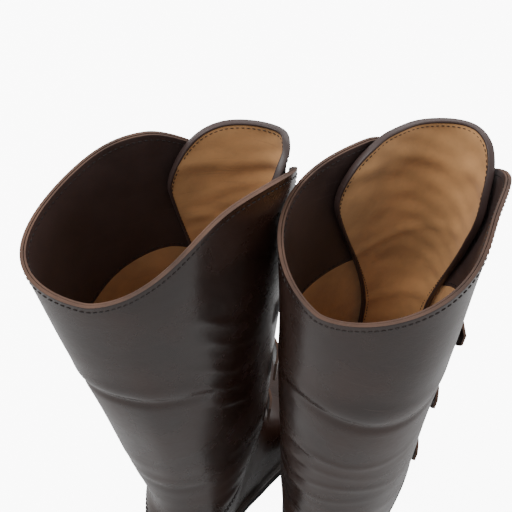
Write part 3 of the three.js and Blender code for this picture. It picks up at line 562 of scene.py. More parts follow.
def heel_material():
    """Stacked leather lifts, stained dark, with a fine line between lifts."""
    made, add, shader = plain("heel_leather", (0.03, 0.018, 0.012), 0.38)
    split = add("ShaderNodeSeparateXYZ", Vector=add("ShaderNodeTexCoord").outputs["Object"])
    wave = add("ShaderNodeMath", _operation="PINGPONG", i0=split.outputs["Z"], i1=0.0019)
    line = add("ShaderNodeMapRange", From_Max=0.0004, Value=wave.outputs["Value"]).outputs["Result"]
    bumps = add("ShaderNodeBump", Strength=1.0, Distance=0.0003, Height=line)
    tone = add("ShaderNodeMix", _data_type="RGBA", Factor=line, i6=(0.008, 0.005, 0.004, 1),
               i7=(0.034, 0.02, 0.013, 1))
    return feed(made, shader, Base_Color=tone.outputs[2], Normal=bumps.outputs["Normal"])


def floor_material():
    """A floor that shines white to the camera alone and is a mid grey to everything else."""
    made, add, shader = plain("pale_floor", (0.5, 0.5, 0.5), 0.7)
    seen = add("ShaderNodeLightPath").outputs["Is Camera Ray"]
    glow = add("ShaderNodeMath", _operation="MULTIPLY", i0=seen, i1=9.0)
    return feed(made, shader, Emission_Color=(1, 1, 1, 1), Emission_Strength=glow.outputs["Value"])


MATERIALS = {}


def make_materials(colours):
    leather_group()
    upper, lining = colours.upper, colours.lining
    dark = tuple(0.55 * c for c in upper)
    MATERIALS.update({
        "shaft": leather("shaft_leather", dark, tuple(upper), (0.2, 0.34), coat=0.16),
        "foot": leather("foot_leather", dark, tuple(upper), (0.22, 0.36), coat=0.2, scratch=0.8),
        "tongue": leather("tongue_leather", dark, tuple(upper), (0.3, 0.44), coat=0.16),
        "facing": leather("facing_leather", (0.04, 0.023, 0.02), (0.062, 0.036, 0.032), (0.46, 0.6),
                          coat=0.08, grain=700.0),
        # The lining's dark line tone is partly burnished wear and partly painted crease shade
        "lining": leather("tan_lining", tuple(0.66 * c for c in lining), tuple(lining), (0.72, 0.88),
                          relief=0.0009, grain=520.0, scratch=1.4, wear_and_crease_shade_tone=(0.16, 0.07, 0.03), sheen=0.12),
        "edge": leather("cut_edge", (0.06, 0.03, 0.02), (0.16, 0.085, 0.055), (0.7, 0.85), relief=0.0012,
                        grain=1500.0),
        "strap": leather("strap_leather", dark, tuple(upper), (0.26, 0.4), coat=0.4),
        "welt": leather("welt_leather", (0.02, 0.012, 0.009), (0.05, 0.03, 0.02), (0.42, 0.56), coat=0.1),
        "insole": leather("insole_leather", (0.3, 0.17, 0.09), (0.42, 0.26, 0.15), (0.75, 0.85)),
        "heel": heel_material(),
        "rubber": plain("sole_rubber", (0.014, 0.013, 0.013), 0.55)[0],
        "steel": plain("buckle_steel", (0.36, 0.34, 0.32), 0.24, 1.0)[0],
        "board": plain("stiffener_board", (0.42, 0.31, 0.2), 0.85)[0],
        "thread": plain("waxed_thread", (0.018, 0.013, 0.012), 0.6)[0],
        "floor": floor_material(),
    })


# ---- runs of stitches ----
def stitch_tree():
    """A tree that lays one stitch after another along edges, flat to the surface."""
    tree = bpy.data.node_groups.new("Stitch Run", "GeometryNodeTree")
    face = tree.interface
    face.new_socket("Geometry", in_out="INPUT", socket_type="NodeSocketGeometry")
    for name, value in (("Pitch", 0.0035), ("Length", 0.0027), ("Thickness", 0.0007)):
        socket = face.new_socket(name, in_out="INPUT", socket_type="NodeSocketFloat")
        socket.default_value = value
        socket.subtype = "DISTANCE"
    face.new_socket("Material", in_out="INPUT", socket_type="NodeSocketMaterial")
    face.new_socket("Geometry", in_out="OUTPUT", socket_type="NodeSocketGeometry")
    add = nodes_of(tree)
    given = add("NodeGroupInput").outputs
    curve = add("GeometryNodeMeshToCurve", Mesh=given["Geometry"])
    even = add("GeometryNodeResampleCurve", _mode="LENGTH", Curve=curve.outputs["Curve"],
               Length=given["Pitch"])
    ball = add("GeometryNodeMeshUVSphere", Segments=6, Rings=4, Radius=0.5)
    size = add("ShaderNodeCombineXYZ", X=given["Length"], Y=given["Thickness"], Z=given["Thickness"])
    one = add("GeometryNodeTransform", Geometry=ball.outputs["Mesh"], Scale=size.outputs["Vector"])
    out = add("GeometryNodeInputNamedAttribute", _data_type="FLOAT_VECTOR", Name="out")
    turn = add("FunctionNodeAxesToRotation", _primary_axis="X", _secondary_axis="Z",
               Primary_Axis=add("GeometryNodeInputTangent").outputs["Tangent"],
               Secondary_Axis=out.outputs["Attribute"])
    place = add("GeometryNodeInstanceOnPoints", Points=even.outputs["Curve"],
                Instance=one.outputs["Geometry"], Rotation=turn.outputs["Rotation"])
    real = add("GeometryNodeRealizeInstances", Geometry=place.outputs["Instances"])
    painted = add("GeometryNodeSetMaterial", Geometry=real.outputs["Geometry"], Material=given["Material"])
    add("NodeGroupOutput", Geometry=painted.outputs["Geometry"])
    return tree


def stitches(name, boot, runs, pitch=0.0035, length=0.0027, thickness=0.0007):
    """Mesh of the stitches along runs, each (points, outward directions) in the boot's frame, in mm."""
    points, outs, edges = [], [], []
    for line, out in runs:
        start = len(points)
        points.extend(boot.world(line))
        outs.extend(boot.turned(out))
        edges.extend((start + i, start + i + 1) for i in range(len(line) - 1))
    mesh = bpy.data.meshes.new(name)
    mesh.from_pydata([tuple(p) for p in points], edges, [])
    attribute = mesh.attributes.new("out", "FLOAT_VECTOR", "POINT")
    attribute.data.foreach_set("vector", np.array(outs, np.float32).ravel())
    holder = bpy.data.objects.new(name, mesh)
    bpy.context.scene.collection.objects.link(holder)
    modifier = holder.modifiers.new("Stitch Run", "NODES")
    tree = bpy.data.node_groups.get("Stitch Run") or stitch_tree()
    modifier.node_group = tree
    given = {"Pitch": pitch, "Length": length, "Thickness": thickness, "Material": MATERIALS["thread"]}
    for item in tree.interface.items_tree:
        if item.item_type == "SOCKET" and item.in_out == "INPUT" and item.name in given:
            modifier[item.identifier] = given[item.name]
    bpy.context.view_layer.update()
    made = bpy.data.meshes.new_from_object(holder.evaluated_get(bpy.context.evaluated_depsgraph_get()))
    made.name = name
    holder.modifiers.clear()
    bpy.data.objects.remove(holder)
    made.shade_smooth()
    return made


def on_shaft(boot, angle, z, out=0.0):
    """Points and outward directions on the worn face of the shaft."""
    angle, z = np.broadcast_arrays(np.asarray(angle, float), np.asarray(z, float))

    def face(a, h):
        return boot.shaft(a, h, boot.wrinkle(a, h))

    across = face(angle + 0.01, z) - face(angle - 0.01, z)
    along = face(angle, z + 1) - face(angle, z - 1)
    normal = np.cross(across, along)
    normal /= np.linalg.norm(normal, axis=-1, keepdims=True)
    return face(angle, z) + normal * out, normal


def level_run(skin, field, level, columns, out):
    """Line on the skin where a field reaches a level, found down each column."""
    points, normals = [], []
    for j in columns:
        f = field[:, j] - level
        crossings = np.nonzero((f[:-1] <= 0) != (f[1:] <= 0))[0]
        if len(crossings):
            i = crossings[-1]
            t = f[i] / (f[i] - f[i + 1])
            n = skin["normal"][i, j] * (1 - t) + skin["normal"][i + 1, j] * t
            points.append(skin["points"][i, j] * (1 - t) + skin["points"][i + 1, j] * t + n * out)
            normals.append(n)
    return np.array(points), np.array(normals)


# ---- the upper ----
COLUMNS = {"x": 0, "y": 1, "z": 2, "drop": 3, "feather": 4, "seam": 5, "side": 6, "gap": 7}


def opening_half(z, margin):
    share = np.clip((z - THROAT_Z) / (RIM_Z - THROAT_Z), 0, 1)
    return (OPENING_FOOT + OPENING_SPREAD * share) / 2 + margin


def opening_field(boot, p, margin=0.0):
    """Distance outside the front opening, whose foot is round."""
    z = p[..., 2]
    axis = boot.front_axis(z)
    half = opening_half(z, margin)
    x = p[..., 0] - boot.lean[0] * boot.part(z)
    y = p[..., 1] - boot.lean[1] * boot.part(z)
    ahead = x * np.sin(axis) - y * np.cos(axis)
    aside = x * np.cos(axis) + y * np.sin(axis)
    low = THROAT_Z + half
    field = np.where(z < low, np.hypot(aside, z - low) - half, np.abs(aside) - half)
    return np.where(ahead > 0, field, 60.0)


def layer_values(boot, skin, inset):
    p = skin["points"]
    z, y = p[..., 2], p[..., 1]
    fields = [skin["drop"], z - sole_under(y) - UPPER_LOW, z - np.interp(y, *ANKLE_SEAM.T),
              y - np.interp(z, SIDE_SEAM[:, 1], SIDE_SEAM[:, 0]), opening_field(boot, p)]
    moved = p - skin["normal"] * inset
    return np.concatenate([moved, np.stack(fields, -1)], -1).reshape(-1, len(COLUMNS))


def cut(values, faces, *rules):
    """Keeps what meets every rule, each (field, sign, level): sign * (field - level) > 0."""
    for field, sign, level in rules:
        column = COLUMNS[field]
        shifted = values.copy()
        shifted[:, column] = sign * (values[:, column] - level)
        shifted, faces = clip(shifted, faces, column)
        values = shifted
        values[:, column] = sign * values[:, column] + level
    return values, faces


def make_upper(boot):
    side, skin = boot.side, SKINS[boot.side]
    rows, columns = skin["points"].shape[:2]
    faces = grid_faces(rows, columns, True)
    steps = np.arange(columns)
    outer = layer_values(boot, skin, 0.0)
    body = f"{side}_boot"
    edge = MATERIALS["edge"]

    def piece(name, values, kept, thick, material, slot, nodes):
        mesh = shell(f"{side}_{name}_visual", values, kept, boot, thick, 1, (material, edge), 0.0003)
        return new_object(mesh.name, mesh, body, material, nodes)

    piece("shaft", *cut(outer, faces, ("seam", 1, SEAM_GAP), ("gap", 1, 0.0)), LEATHER, MATERIALS["shaft"],
          "shaft_leather", [f"{side}_shaft"])
    low = cut(outer, faces, ("seam", -1, -SEAM_GAP), ("feather", 1, 0.0))
    for name, sign in (("vamp", 1), ("counter_cover", -1)):
        piece(name, *cut(*low, ("side", sign, sign * SEAM_GAP)), LEATHER, MATERIALS["foot"], "foot_leather",
              [f"{side}_{name}"])
    inner = layer_values(boot, skin, LAYER_INSET)
    piece("facing", *cut(inner, faces, ("drop", -1, FACING), ("gap", 1, 0.0), ("drop", 1, 0.25)), LINING,
          MATERIALS["facing"], "tan_lining", [])
    piece("lining", *cut(inner, faces, ("drop", 1, FACING + 0.3), ("gap", 1, 0.0), ("feather", 1, 0.0)),
          LINING, MATERIALS["lining"], "tan_lining", [f"{side}_lining"])

    # stitches
    middle = float(boot.front_axis(RIM_Z))
    ears = np.linspace(middle + 0.36, middle + 2 * np.pi - 0.36, 400)
    clear = opening_field(boot, on_shaft(boot, ears, RIM_Z + boot.rise(ears) - RIM_STITCH)[0]) > RIM_STITCH
    rim = ears[clear]
    line = RIM_Z + boot.rise(rim) - RIM_STITCH
    runs = [on_shaft(boot, rim, line, STITCH_RISE)]
    inside, facing = on_shaft(boot, rim, line, -INNER_STITCH)
    runs.append((inside, -facing))
    for hand in (-1, 1):
        for off in (4.0, 7.0):
            z = np.linspace(THROAT_Z + 14, RIM_Z + 60, 160)
            half = opening_half(z, off)
            axis = boot.front_axis(z)
            angle = axis + hand * half / boot.radius(axis, boot.part(z))
            for _ in range(3):
                field = opening_field(boot, boot.shaft(angle, z), off)
                angle = angle - hand * field / boot.radius(angle, boot.part(z))
            keep = z < RIM_Z + boot.rise(angle) - 6
            runs.append(on_shaft(boot, angle[keep], z[keep], STITCH_RISE))
    seam = outer[:, COLUMNS["seam"]].reshape(rows, columns)
    closed = np.append(steps, 0)
    for level in (2.6, 5.2, -2.8):
        runs.append(level_run(skin, seam, level, closed, STITCH_RISE))
    inner_edge = level_run(skin, -skin["drop"], -FACING + 2.5, closed, -INNER_STITCH)
    keep = opening_field(boot, inner_edge[0], 3.0) > 0
    start = int(np.argmin(keep))
    order = np.roll(np.arange(len(keep)), -start)
    order = order[keep[order]]
    runs.append((inner_edge[0][order], -inner_edge[1][order]))
    mesh = stitches(f"{side}_upper_stitches", boot, [r for r in runs if len(r[0]) > 1])
    new_object(mesh.name, mesh, body, MATERIALS["thread"])



# ---- the bottom ----
def block(name, boot, ys, inner, outer, low, high, corner=0.8, hollow=0.0):
    """A closed slab of the bottom lofted heel to toe, with rounded edges, in the boot's frame."""
    turn = np.linspace(0, np.pi / 2, 4)
    rings = []
    for n, y in enumerate(ys):
        a, b, z0, z1 = inner[n], -outer[n], low[n], high[n]
        r = min(corner, (z1 - z0) * 0.45)
        flat = np.linspace(b + r, a - r, 9)
        right = [(a - r + r * math.sin(t), z0 + r - r * math.cos(t)) for t in turn[1:]]
        right += [(a - r + r * math.cos(t), z1 - r + r * math.sin(t)) for t in turn]
        left = [(b + r - r * math.sin(t), z1 - r + r * math.cos(t)) for t in turn[1:]]
        left += [(b + r - r * math.cos(t), z0 + r - r * math.sin(t)) for t in turn[:-1]]
        ring = [(x, z0) for x in flat] + right + [(x, z1) for x in flat[::-1][1:]] + left
        last = n == len(ys) - 1
        rings.append([(x, y - (hollow * (1 - (2 * (x - b) / (a - b) - 1) ** 2) if last else 0), z)
                      for x, z in ring])
    rings = np.array(rings)
    count = rings.shape[1]
    faces = [tuple(f) for f in grid_faces(len(ys), count, True)]
    for base in (0, (len(ys) - 1) * count):
        faces.append(tuple(base + k for k in range(count)))
    return outward(mesh_of(name, boot.world(rings.reshape(-1, 3)), faces))


def bottom_block(name, boot, low, high, inset, corner, y_range=SOLE_Y):
    start, stop = max(y_range[0], SOLE_Y[0] + inset), min(y_range[1], SOLE_Y[1] - inset)
    t = np.linspace(0, 1, 90)
    ys = start + (stop - start) * (0.5 - 0.5 * np.cos(np.pi * t))
    length = SOLE_Y[1] - SOLE_Y[0]
    stretched = SOLE_Y[0] + length * (ys - SOLE_Y[0] - inset) / (length - 2 * inset)
    inner = np.maximum(2.5, sole_edge(stretched, 1) - inset)
    outer = np.maximum(2.5, sole_edge(stretched, -1) - inset)
    under = sole_under(ys)
    return block(name, boot, ys, inner, outer, under + low, under + high, corner)


def make_bottom(boot):
    side, body = boot.side, f"{boot.side}_boot"
    outsole = bottom_block(f"{side}_outsole_visual", boot, 0, 6.0, 0, 1.0)
    new_object(outsole.name, outsole, body, MATERIALS["rubber"], [f"{side}_outsole"])
    welt = bottom_block(f"{side}_welt_visual", boot, 6.3, 9.8, 0.6, 1.0)
    new_object(welt.name, welt, body, MATERIALS["welt"], [f"{side}_welt"])
    for name, low, high, inset, material, slot in (
            ("heel_stack", 6.3, 23.7, 1.2, "heel", "heel_leather"),
            ("heel_tip", 0.0, 6.0, 2.2, "rubber", "sole_rubber")):
        ys = np.concatenate([SOLE_Y[0] + inset + np.array([0, 1, 2.5, 5]), np.arange(-66, BREAST_Y - 8, 6.0),
                             [BREAST_Y - inset]])
        taper = 1 - 0.05 * (1 - (low + high) / 2 / HEEL)
        at = np.maximum(SOLE_Y[0], ys - inset * 0.6)
        inner = np.maximum(2.5, sole_edge(at, 1) - inset) * taper
        outer = np.maximum(2.5, sole_edge(at, -1) - inset) * taper
        mesh = block(f"{side}_{name}_visual", boot, ys, inner, outer, 0 * ys + low, 0 * ys + high, 0.8, 5.0)
        new_object(mesh.name, mesh, body, MATERIALS[material], [f"{side}_{name}"])
    for node, material in (("shank", "steel"), ("insole", "insole"), ("sock_lining", "lining"),
                           ("toe_puff", "board"), ("heel_counter", "board")):
        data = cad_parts[f"{side}_{node}"].data
        data.materials.clear()
        data.materials.append(MATERIALS[material])
    ys = np.linspace(-30, 205, 240)
    runs = []
    for hand in (1, -1):
        x = hand * (sole_edge(ys, hand) - 3.0)
        x = np.where(ys > 195, x * 0.97, x)
        line = np.stack([x, ys, sole_under(ys) + 9.85], 1)
        runs.append((line, np.tile((0.0, 0.0, 1.0), (len(ys), 1))))
    mesh = stitches(f"{side}_welt_stitches", boot, runs, 0.0042, 0.0034, 0.001)
    new_object(mesh.name, mesh, body, MATERIALS["thread"])


# ---- the tongue ----
def tongue_grid(boot, inset, across, along):
    """Points and outward directions of a tongue leaf, rows from its sewn foot to its top."""
    side = 2 * across[None, :] - 1
    crown = 1 - 0.15 * np.abs(side) ** 4.4
    z = TONGUE_FOOT_Z + (TONGUE_TOP_Z - TONGUE_FOOT_Z) * crown * along[:, None]
    rise = (z - TONGUE_FOOT_Z) / (TONGUE_TOP_Z - TONGUE_FOOT_Z)
    half = 26 + (boot.tongue_half - 26) * (0.12 * rise + 0.88 * smooth((rise - 0.45) / 0.5))
    axis = boot.front_axis(z)
    want = side * half
    steps = np.linspace(-2.6, 2.6, 261)
    fan = boot.shaft(axis[..., None] + steps, z[..., None])
    length = np.cumsum(np.linalg.norm(np.diff(fan, axis=2), axis=3), 2)
    length = np.concatenate([np.zeros(z.shape + (1,)), length], 2)
    length -= length[..., 130:131]
    angle = np.empty_like(z)
    for i in range(z.shape[0]):
        for j in range(z.shape[1]):
            angle[i, j] = axis[i, j] + np.interp(want[i, j], length[i, j], steps)
    face = boot.shaft
    around = face(angle + 0.01, z) - face(angle - 0.01, z)
    upward = face(angle, z + 1) - face(angle, z - 1)
    normal = np.cross(around, upward)
    normal /= np.linalg.norm(normal, axis=-1, keepdims=True)
    ease = (1.3 - 0.037 * TOP_HALF[1]) * (1 - smooth(rise / 0.2))
    depth = np.maximum(TONGUE_TOP_Z - z, 0)
    fine = 0.32 * np.sin(0.42 * z + 0.11 * want + 1.8 * np.sin(0.045 * want + 0.03 * z))
    fine += 0.26 * np.sin(0.27 * z - 0.16 * want + 2.2 * np.sin(0.06 * want))
    fine *= 0.35 + 0.65 * bump(np.sin(0.035 * want + 0.02 * z + boot.inner), 0.5, 0.7)
    crease = -1.3 * bump(depth, 24 + 0.06 * want + 3 * np.sin(0.07 * want), 5.5)
    crease += 0.8 * bump(depth, 36 + 0.06 * want, 8) - 1.0 * bump(depth, 78 - 0.22 * want, 4.5)
    crease += 0.6 * bump(depth, 110 + 0.18 * want, 6) - 0.7 * bump(depth, 136 - 0.1 * want, 5)
    wrinkle = (fine + crease) * (1 - 0.6 * np.abs(side) ** 3) * smooth(rise / 0.12)
    return face(angle, z) + normal * (wrinkle - inset - ease)[..., None], normal


def make_tongue(boot):
    side = boot.side
    across = np.linspace(0, 1, 88)
    along = np.linspace(0, 1, 150)
    made = []
    for name, inset, thick, material, slot in (
            ("tongue", TONGUE_INSET, 1.8, "tongue", "tongue_leather"),
            ("tongue_lining", TONGUE_INSET + 2.5, 1.0, "lining", "tan_lining")):
        points, normal = tongue_grid(boot, inset, across, along)
        faces = grid_faces(len(along), len(across), False)
        mesh = shell(f"{side}_{name}_visual", points.reshape(-1, 3), [tuple(f) for f in faces], boot,
                     thick, 0, (MATERIALS[material],))
        made.append(new_object(mesh.name, mesh, None, MATERIALS[material], [f"{side}_{name}"],
                               rides=False))
    middle, normal = tongue_grid(boot, TONGUE_INSET + 1.75, across, along)
    rim = [(i, 0) for i in range(len(along))] + [(len(along) - 1, j) for j in range(1, len(across))]
    rim += [(i, len(across) - 1) for i in range(len(along) - 2, -1, -1)]
    line = np.array([middle[i, j] for i, j in rim])
    out = np.array([normal[i, j] for i, j in rim])
    for _ in range(6):
        line[1:-1] = (line[:-2] + 2 * line[1:-1] + line[2:]) / 4
    tangent = np.gradient(line, axis=0)
    tangent /= np.linalg.norm(tangent, axis=1, keepdims=True)
    aside = np.cross(tangent, out)
    aside /= np.linalg.norm(aside, axis=1, keepdims=True)
    angles = np.linspace(0, 2 * np.pi, 16, endpoint=False)
    c = np.sign(np.cos(angles)) * np.abs(np.cos(angles)) ** 0.6
    s = np.sign(np.sin(angles)) * np.abs(np.sin(angles)) ** 0.6
    rings = (line[:, None] + BINDING[0] * c[None, :, None] * aside[:, None]
             + BINDING[1] * s[None, :, None] * out[:, None])
    faces = [tuple(f) for f in grid_faces(len(line), 16, True)]
    faces += [tuple(range(16)), tuple((len(line) - 1) * 16 + k for k in range(16))]
    mesh = outward(mesh_of(f"{side}_tongue_binding", boot.world(rings.reshape(-1, 3)), faces))
    made.append(new_object(mesh.name, mesh, None, MATERIALS["facing"], rides=False))
    centre = middle[len(along) // 2, len(across) // 2]
    toward = centre - line
    toward -= out * (toward * out).sum(1, keepdims=True)
    toward /= np.linalg.norm(toward, axis=1, keepdims=True)
    sewn = line + toward * 2.6
    runs = [(sewn - out * 1.85, -out), (sewn + out * 1.85, out)]
    mesh = stitches(f"{side}_tongue_stitches", boot, runs, 0.0031, 0.0023, 0.0006)
    made.append(new_object(mesh.name, mesh, None, MATERIALS["thread"], rides=False))
    foot, head = boot.world([(0, 54, 176.0), (0, 54, 262.0)])
    for obj in made:
        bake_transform(obj)


# ---- straps and buckles ----
class Closure:
    """One strap's course round a shaft: s runs along it from the buckle, positive toward the tip."""

    def __init__(self, boot, place):
        self.boot, self.place, self.z = boot, place, STRAP_HEIGHTS[place]
        angles = np.radians(BUCKLE_ANGLE + np.arange(-120, 120, 0.5))
        points = boot.shaft(angles, self.z)
        length = np.concatenate([[0], np.cumsum(np.linalg.norm(np.diff(points, axis=0), axis=1))])
        self.angles = angles
        self.length = length - np.interp(np.radians(BUCKLE_ANGLE), angles, length)
        self.root = float(np.interp(np.radians(ROOT_ANGLE), angles, self.length))
        over = LIFT + 2 * LOOP_OUTER + 0.3
        on_chape = LIFT + CHAPE + 0.3
        self.knots = ((-60, LIFT, "soft"), (FAR_BAR_S + BAR / 2 + 1, LIFT, "straight"),
                      (HEEL_BAR_S - 3.6, over, "soft"), (HEEL_BAR_S + 3.2, over, "straight"),
                      (HEEL_BAR_S + 14, on_chape + 0.2, "soft"), (CHAPE_REACH, on_chape + 0.2, "soft"),
                      (TIP_REACH, on_chape + TIP_STANDOUT[place], "curved"))
        far, heel = self.frame(FAR_BAR_S), self.frame(HEEL_BAR_S)
        bar = far[0] + far[2] * FAR_BAR_LIFT
        self.origin = heel[0] + heel[2] * (LIFT + LOOP_OUTER)
        ahead = self.origin - bar
        self.reach = float(np.linalg.norm(ahead))
        ahead = ahead / self.reach
        up = heel[3] - ahead * heel[3].dot(ahead)
        up = up / np.linalg.norm(up)
        normal = np.cross(ahead, up)
        self.axes = (ahead, up, normal * np.sign(normal.dot(heel[2])))

    def angle(self, s):
        return np.interp(s, self.length, self.angles)

    def frame(self, s):
        """Origin, direction of travel, outward and upward directions at s."""
        boot, z, a = self.boot, self.z, self.angle(s)
        origin = boot.shaft(a, z)
        ahead = boot.shaft(a + 0.01, z) - boot.shaft(a - 0.01, z)
        ahead = ahead / np.linalg.norm(ahead, axis=-1, keepdims=True)
        rise = boot.shaft(a, z + 2) - boot.shaft(a, z - 2)
        normal = np.cross(ahead, rise)
        normal = normal / np.linalg.norm(normal, axis=-1, keepdims=True)
        up = np.cross(normal, ahead)
        return origin, ahead, normal, up * np.sign(up[..., 2:3]) if up.ndim > 1 else up * np.sign(up[2])

    def lift(self, s):
        s = np.asarray(s, float)
        out = np.full(s.shape, self.knots[0][1])
        for (s0, v0, _), (s1, v1, form) in zip(self.knots, self.knots[1:]):
            t = np.clip((s - s0) / (s1 - s0), 0, 1)
            shape = {"straight": t, "curved": t * t, "soft": t + (smooth(t) - t) * 0.45}[form]
            out = np.where(s > s0, v0 + (v1 - v0) * shape, out)
        return out

    def strip(self, s, v, thick, lift, width=lambda s: 1.0):
        """Top face of a strip: rows along s, columns across from -v to v."""
        _, ahead, normal, up = self.frame(s)
        slope = lift(s + 0.5) - lift(s - 0.5)
        tilt = np.hypot(1, slope)
        scale = np.array([width(float(value)) for value in s])
        dz = v[None, :] * scale[:, None]
        at = self.boot.shaft(self.angle(s)[:, None], self.z + dz * up[:, None, 2])
        raised = (lift(s) + thick / tilt)[:, None, None] * normal[:, None]
        return at + raised - (thick * slope / tilt)[:, None, None] * ahead[:, None], normal

    def seated(self, local):
        """Points drawn with s, up and outward from the heel bar."""
        ahead, up, normal = self.axes
        p = np.asarray(local, float).reshape(-1, 3)
        return self.origin + p[:, :1] * ahead + p[:, 1:2] * up + p[:, 2:] * normal


def band(name, boot, points, cuts, thick, material):
    """A strip of leather from a grid of its top face, with holes where a cut is below zero."""
    rows, columns = points.shape[:2]
    values = np.concatenate([points.reshape(-1, 3)] + [c.reshape(-1, 1) for c in cuts], 1)
    faces = grid_faces(rows, columns, False)
    for k in range(len(cuts)):
        values, faces = clip(values, faces, 3 + k)
    return shell(name, values, faces, boot, thick, 1, (material, MATERIALS["edge"]), 0.0004)


def make_closure(boot, place):
    side, body = boot.side, f"{boot.side}_boot"
    way = Closure(boot, place)
    prefix = f"{side}_{place}"
    hide = MATERIALS["strap"]
    # strap
    s = np.arange(way.root, TIP_REACH + 0.01, 0.8)
    v = np.linspace(-STRAP_WIDTH / 2, STRAP_WIDTH / 2, 27)
    start = TIP_REACH - STRAP_WIDTH * 0.45

    def taper(x):
        return 1.0 if x < start else 1 - 0.65 * ((x - start) / (TIP_REACH - start)) ** 2

    top, _ = way.strip(s, v, STRAP, way.lift, taper)
    ss, vv = np.meshgrid(s, v, indexing="ij")
    hole = np.maximum(np.abs(vv) - PRONG_SLOT, np.abs(ss - 2.2) - 7.2)
    punched = np.minimum.reduce([np.hypot(ss - at, vv) for at in PUNCHED_S]) - HOLE_RADIUS
    mesh = band(f"{prefix}_strap_visual", boot, top, [hole, punched], STRAP, hide)
    new_object(mesh.name, mesh, body, hide, [f"{prefix}_strap"])
    # chape: a leaf on the shaft and a loop round the heel bar
    leaf_s = np.arange(HEEL_BAR_S - 1, CHAPE_REACH + 0.01, 1.0)
    leaf_v = np.linspace(-STRAP_WIDTH / 2 + 1, STRAP_WIDTH / 2 - 1, 21)
    leaf, _ = way.strip(leaf_s, leaf_v, CHAPE, lambda x: LIFT + 0 * x)
    ls, lv = np.meshgrid(leaf_s, leaf_v, indexing="ij")
    slot = np.maximum(np.abs(lv) - PRONG_SLOT, ls - HEEL_BAR_S - LOOP_OUTER - 1)
    leaf_mesh = band("leaf", boot, leaf, [slot], CHAPE, hide)
    turn = np.linspace(0, 2 * np.pi, 33)
    ring = np.array([[(LOOP_OUTER * math.cos(t), y, LOOP_OUTER * math.sin(t)) for y in leaf_v[::-1]]
                     for t in turn])
    ring_points = way.seated(ring).reshape(len(turn), len(leaf_v), 3)
    gap = np.abs(np.broadcast_to(leaf_v[::-1], ring.shape[:2])) - PRONG_SLOT
    ring_mesh = band("loop", boot, ring_points, [gap.copy()], CHAPE, hide)
    mesh = joined(f"{prefix}_chape_visual", [leaf_mesh, ring_mesh])
    new_object(mesh.name, mesh, body, hide, [f"{prefix}_chape"])
    # buckle frame
    half, corner = STRAP_WIDTH / 2 + 1.2 + BAR / 2, 3.4
    corners = ((-corner, half - corner, 0), (-way.reach + corner, half - corner, 90),
               (-way.reach + corner, -half + corner, 180), (-corner, -half + corner, 270))
    path = [(x + corner * math.cos(math.radians(a + d)), y + corner * math.sin(math.radians(a + d)), 0)
            for x, y, a in corners for d in np.linspace(0, 90, 8)]
    mesh = tube(f"{prefix}_buckle_visual", boot.world(way.seated(path)), BAR / 2000, True, 14)
    new_object(mesh.name, mesh, body, MATERIALS["steel"], [f"{prefix}_buckle"])
    # prong
    eye = BAR / math.sqrt(2) + 0.2 + 0.65
    tip = (-way.reach - BAR / 2 - 0.8, BAR / 2 + 0.3 + 1.2)
    line = [(-eye * 0.6, 0, eye * 0.75), (-6, 0, 3.1), (tip[0] * 0.55, 0, tip[1] + 0.9),
            (tip[0] * 0.8, 0, tip[1] + 0.5), (tip[0], 0, tip[1] - 0.1)]
    smooth_line = [way.seated([p])[0] for p in spline_rows([np.array([p], float) for p in line], 5)[:, 0]]
    arm = tube("arm", boot.world(smooth_line), 0.00118, False, 12)
    loop = [(eye * math.cos(t), 0, eye * math.sin(t)) for t in np.linspace(0, 2 * np.pi, 20, endpoint=False)]
    ring = tube("eye", boot.world(way.seated(loop)), 0.00062, True, 10)
    mesh = joined(f"{prefix}_prong_visual", [arm, ring])
    new_object(mesh.name, mesh, f"{prefix}_prong", MATERIALS["steel"], [f"{prefix}_prong"])
    # keeper
    seat = way.frame(KEEPER_S)
    side_v, roof, bend = STRAP_WIDTH / 2 + 2.0, LIFT + CHAPE + 0.5 + STRAP + 0.7 + 1.4, 2.2
    arch = [(side_v, 0.9), (side_v, roof - bend)]
    arch += [(side_v - bend + bend * math.cos(t), roof - bend + bend * math.sin(t))
             for t in np.linspace(0.2, 1.57, 6)]
    arch += [(x, roof) for x in np.linspace(side_v - bend - 2, -side_v + bend + 2, 7)]
    arch += [(-side_v + bend - bend * math.sin(t), roof - bend + bend * math.cos(t))
             for t in np.linspace(0, 1.37, 6)]
    arch += [(-side_v, roof - bend), (-side_v, 0.9)]
    across = np.linspace(-3.5, 3.5, 8)
    grid = np.array([[seat[0] + seat[1] * u + seat[3] * a + seat[2] * n for u in across] for a, n in arch])
    mesh = band(f"{prefix}_keeper_visual", boot, grid[::-1], [], 1.4, hide)
    new_object(mesh.name, mesh, body, hide, [f"{prefix}_keeper"])
    # stitches
    runs = []
    line_s = np.arange(way.root + 2, TIP_REACH - 8, 1.5)
    for edge in (-STRAP_WIDTH / 2 + 2.4, STRAP_WIDTH / 2 - 2.4):
        points, out = way.strip(line_s, np.array([edge]), STRAP + 0.1, way.lift)
        runs.append((points[:, 0], out))
    for at in (way.root + 3, way.root + 24):
        points, out = way.strip(np.array([at]), np.linspace(-8, 8, 12), STRAP + 0.1, way.lift)
        runs.append((points[0], np.repeat(out, 12, 0)))
    mesh = stitches(f"{prefix}_strap_stitches", boot, runs, 0.0034, 0.0026, 0.0006)
    new_object(mesh.name, mesh, body, MATERIALS["thread"])


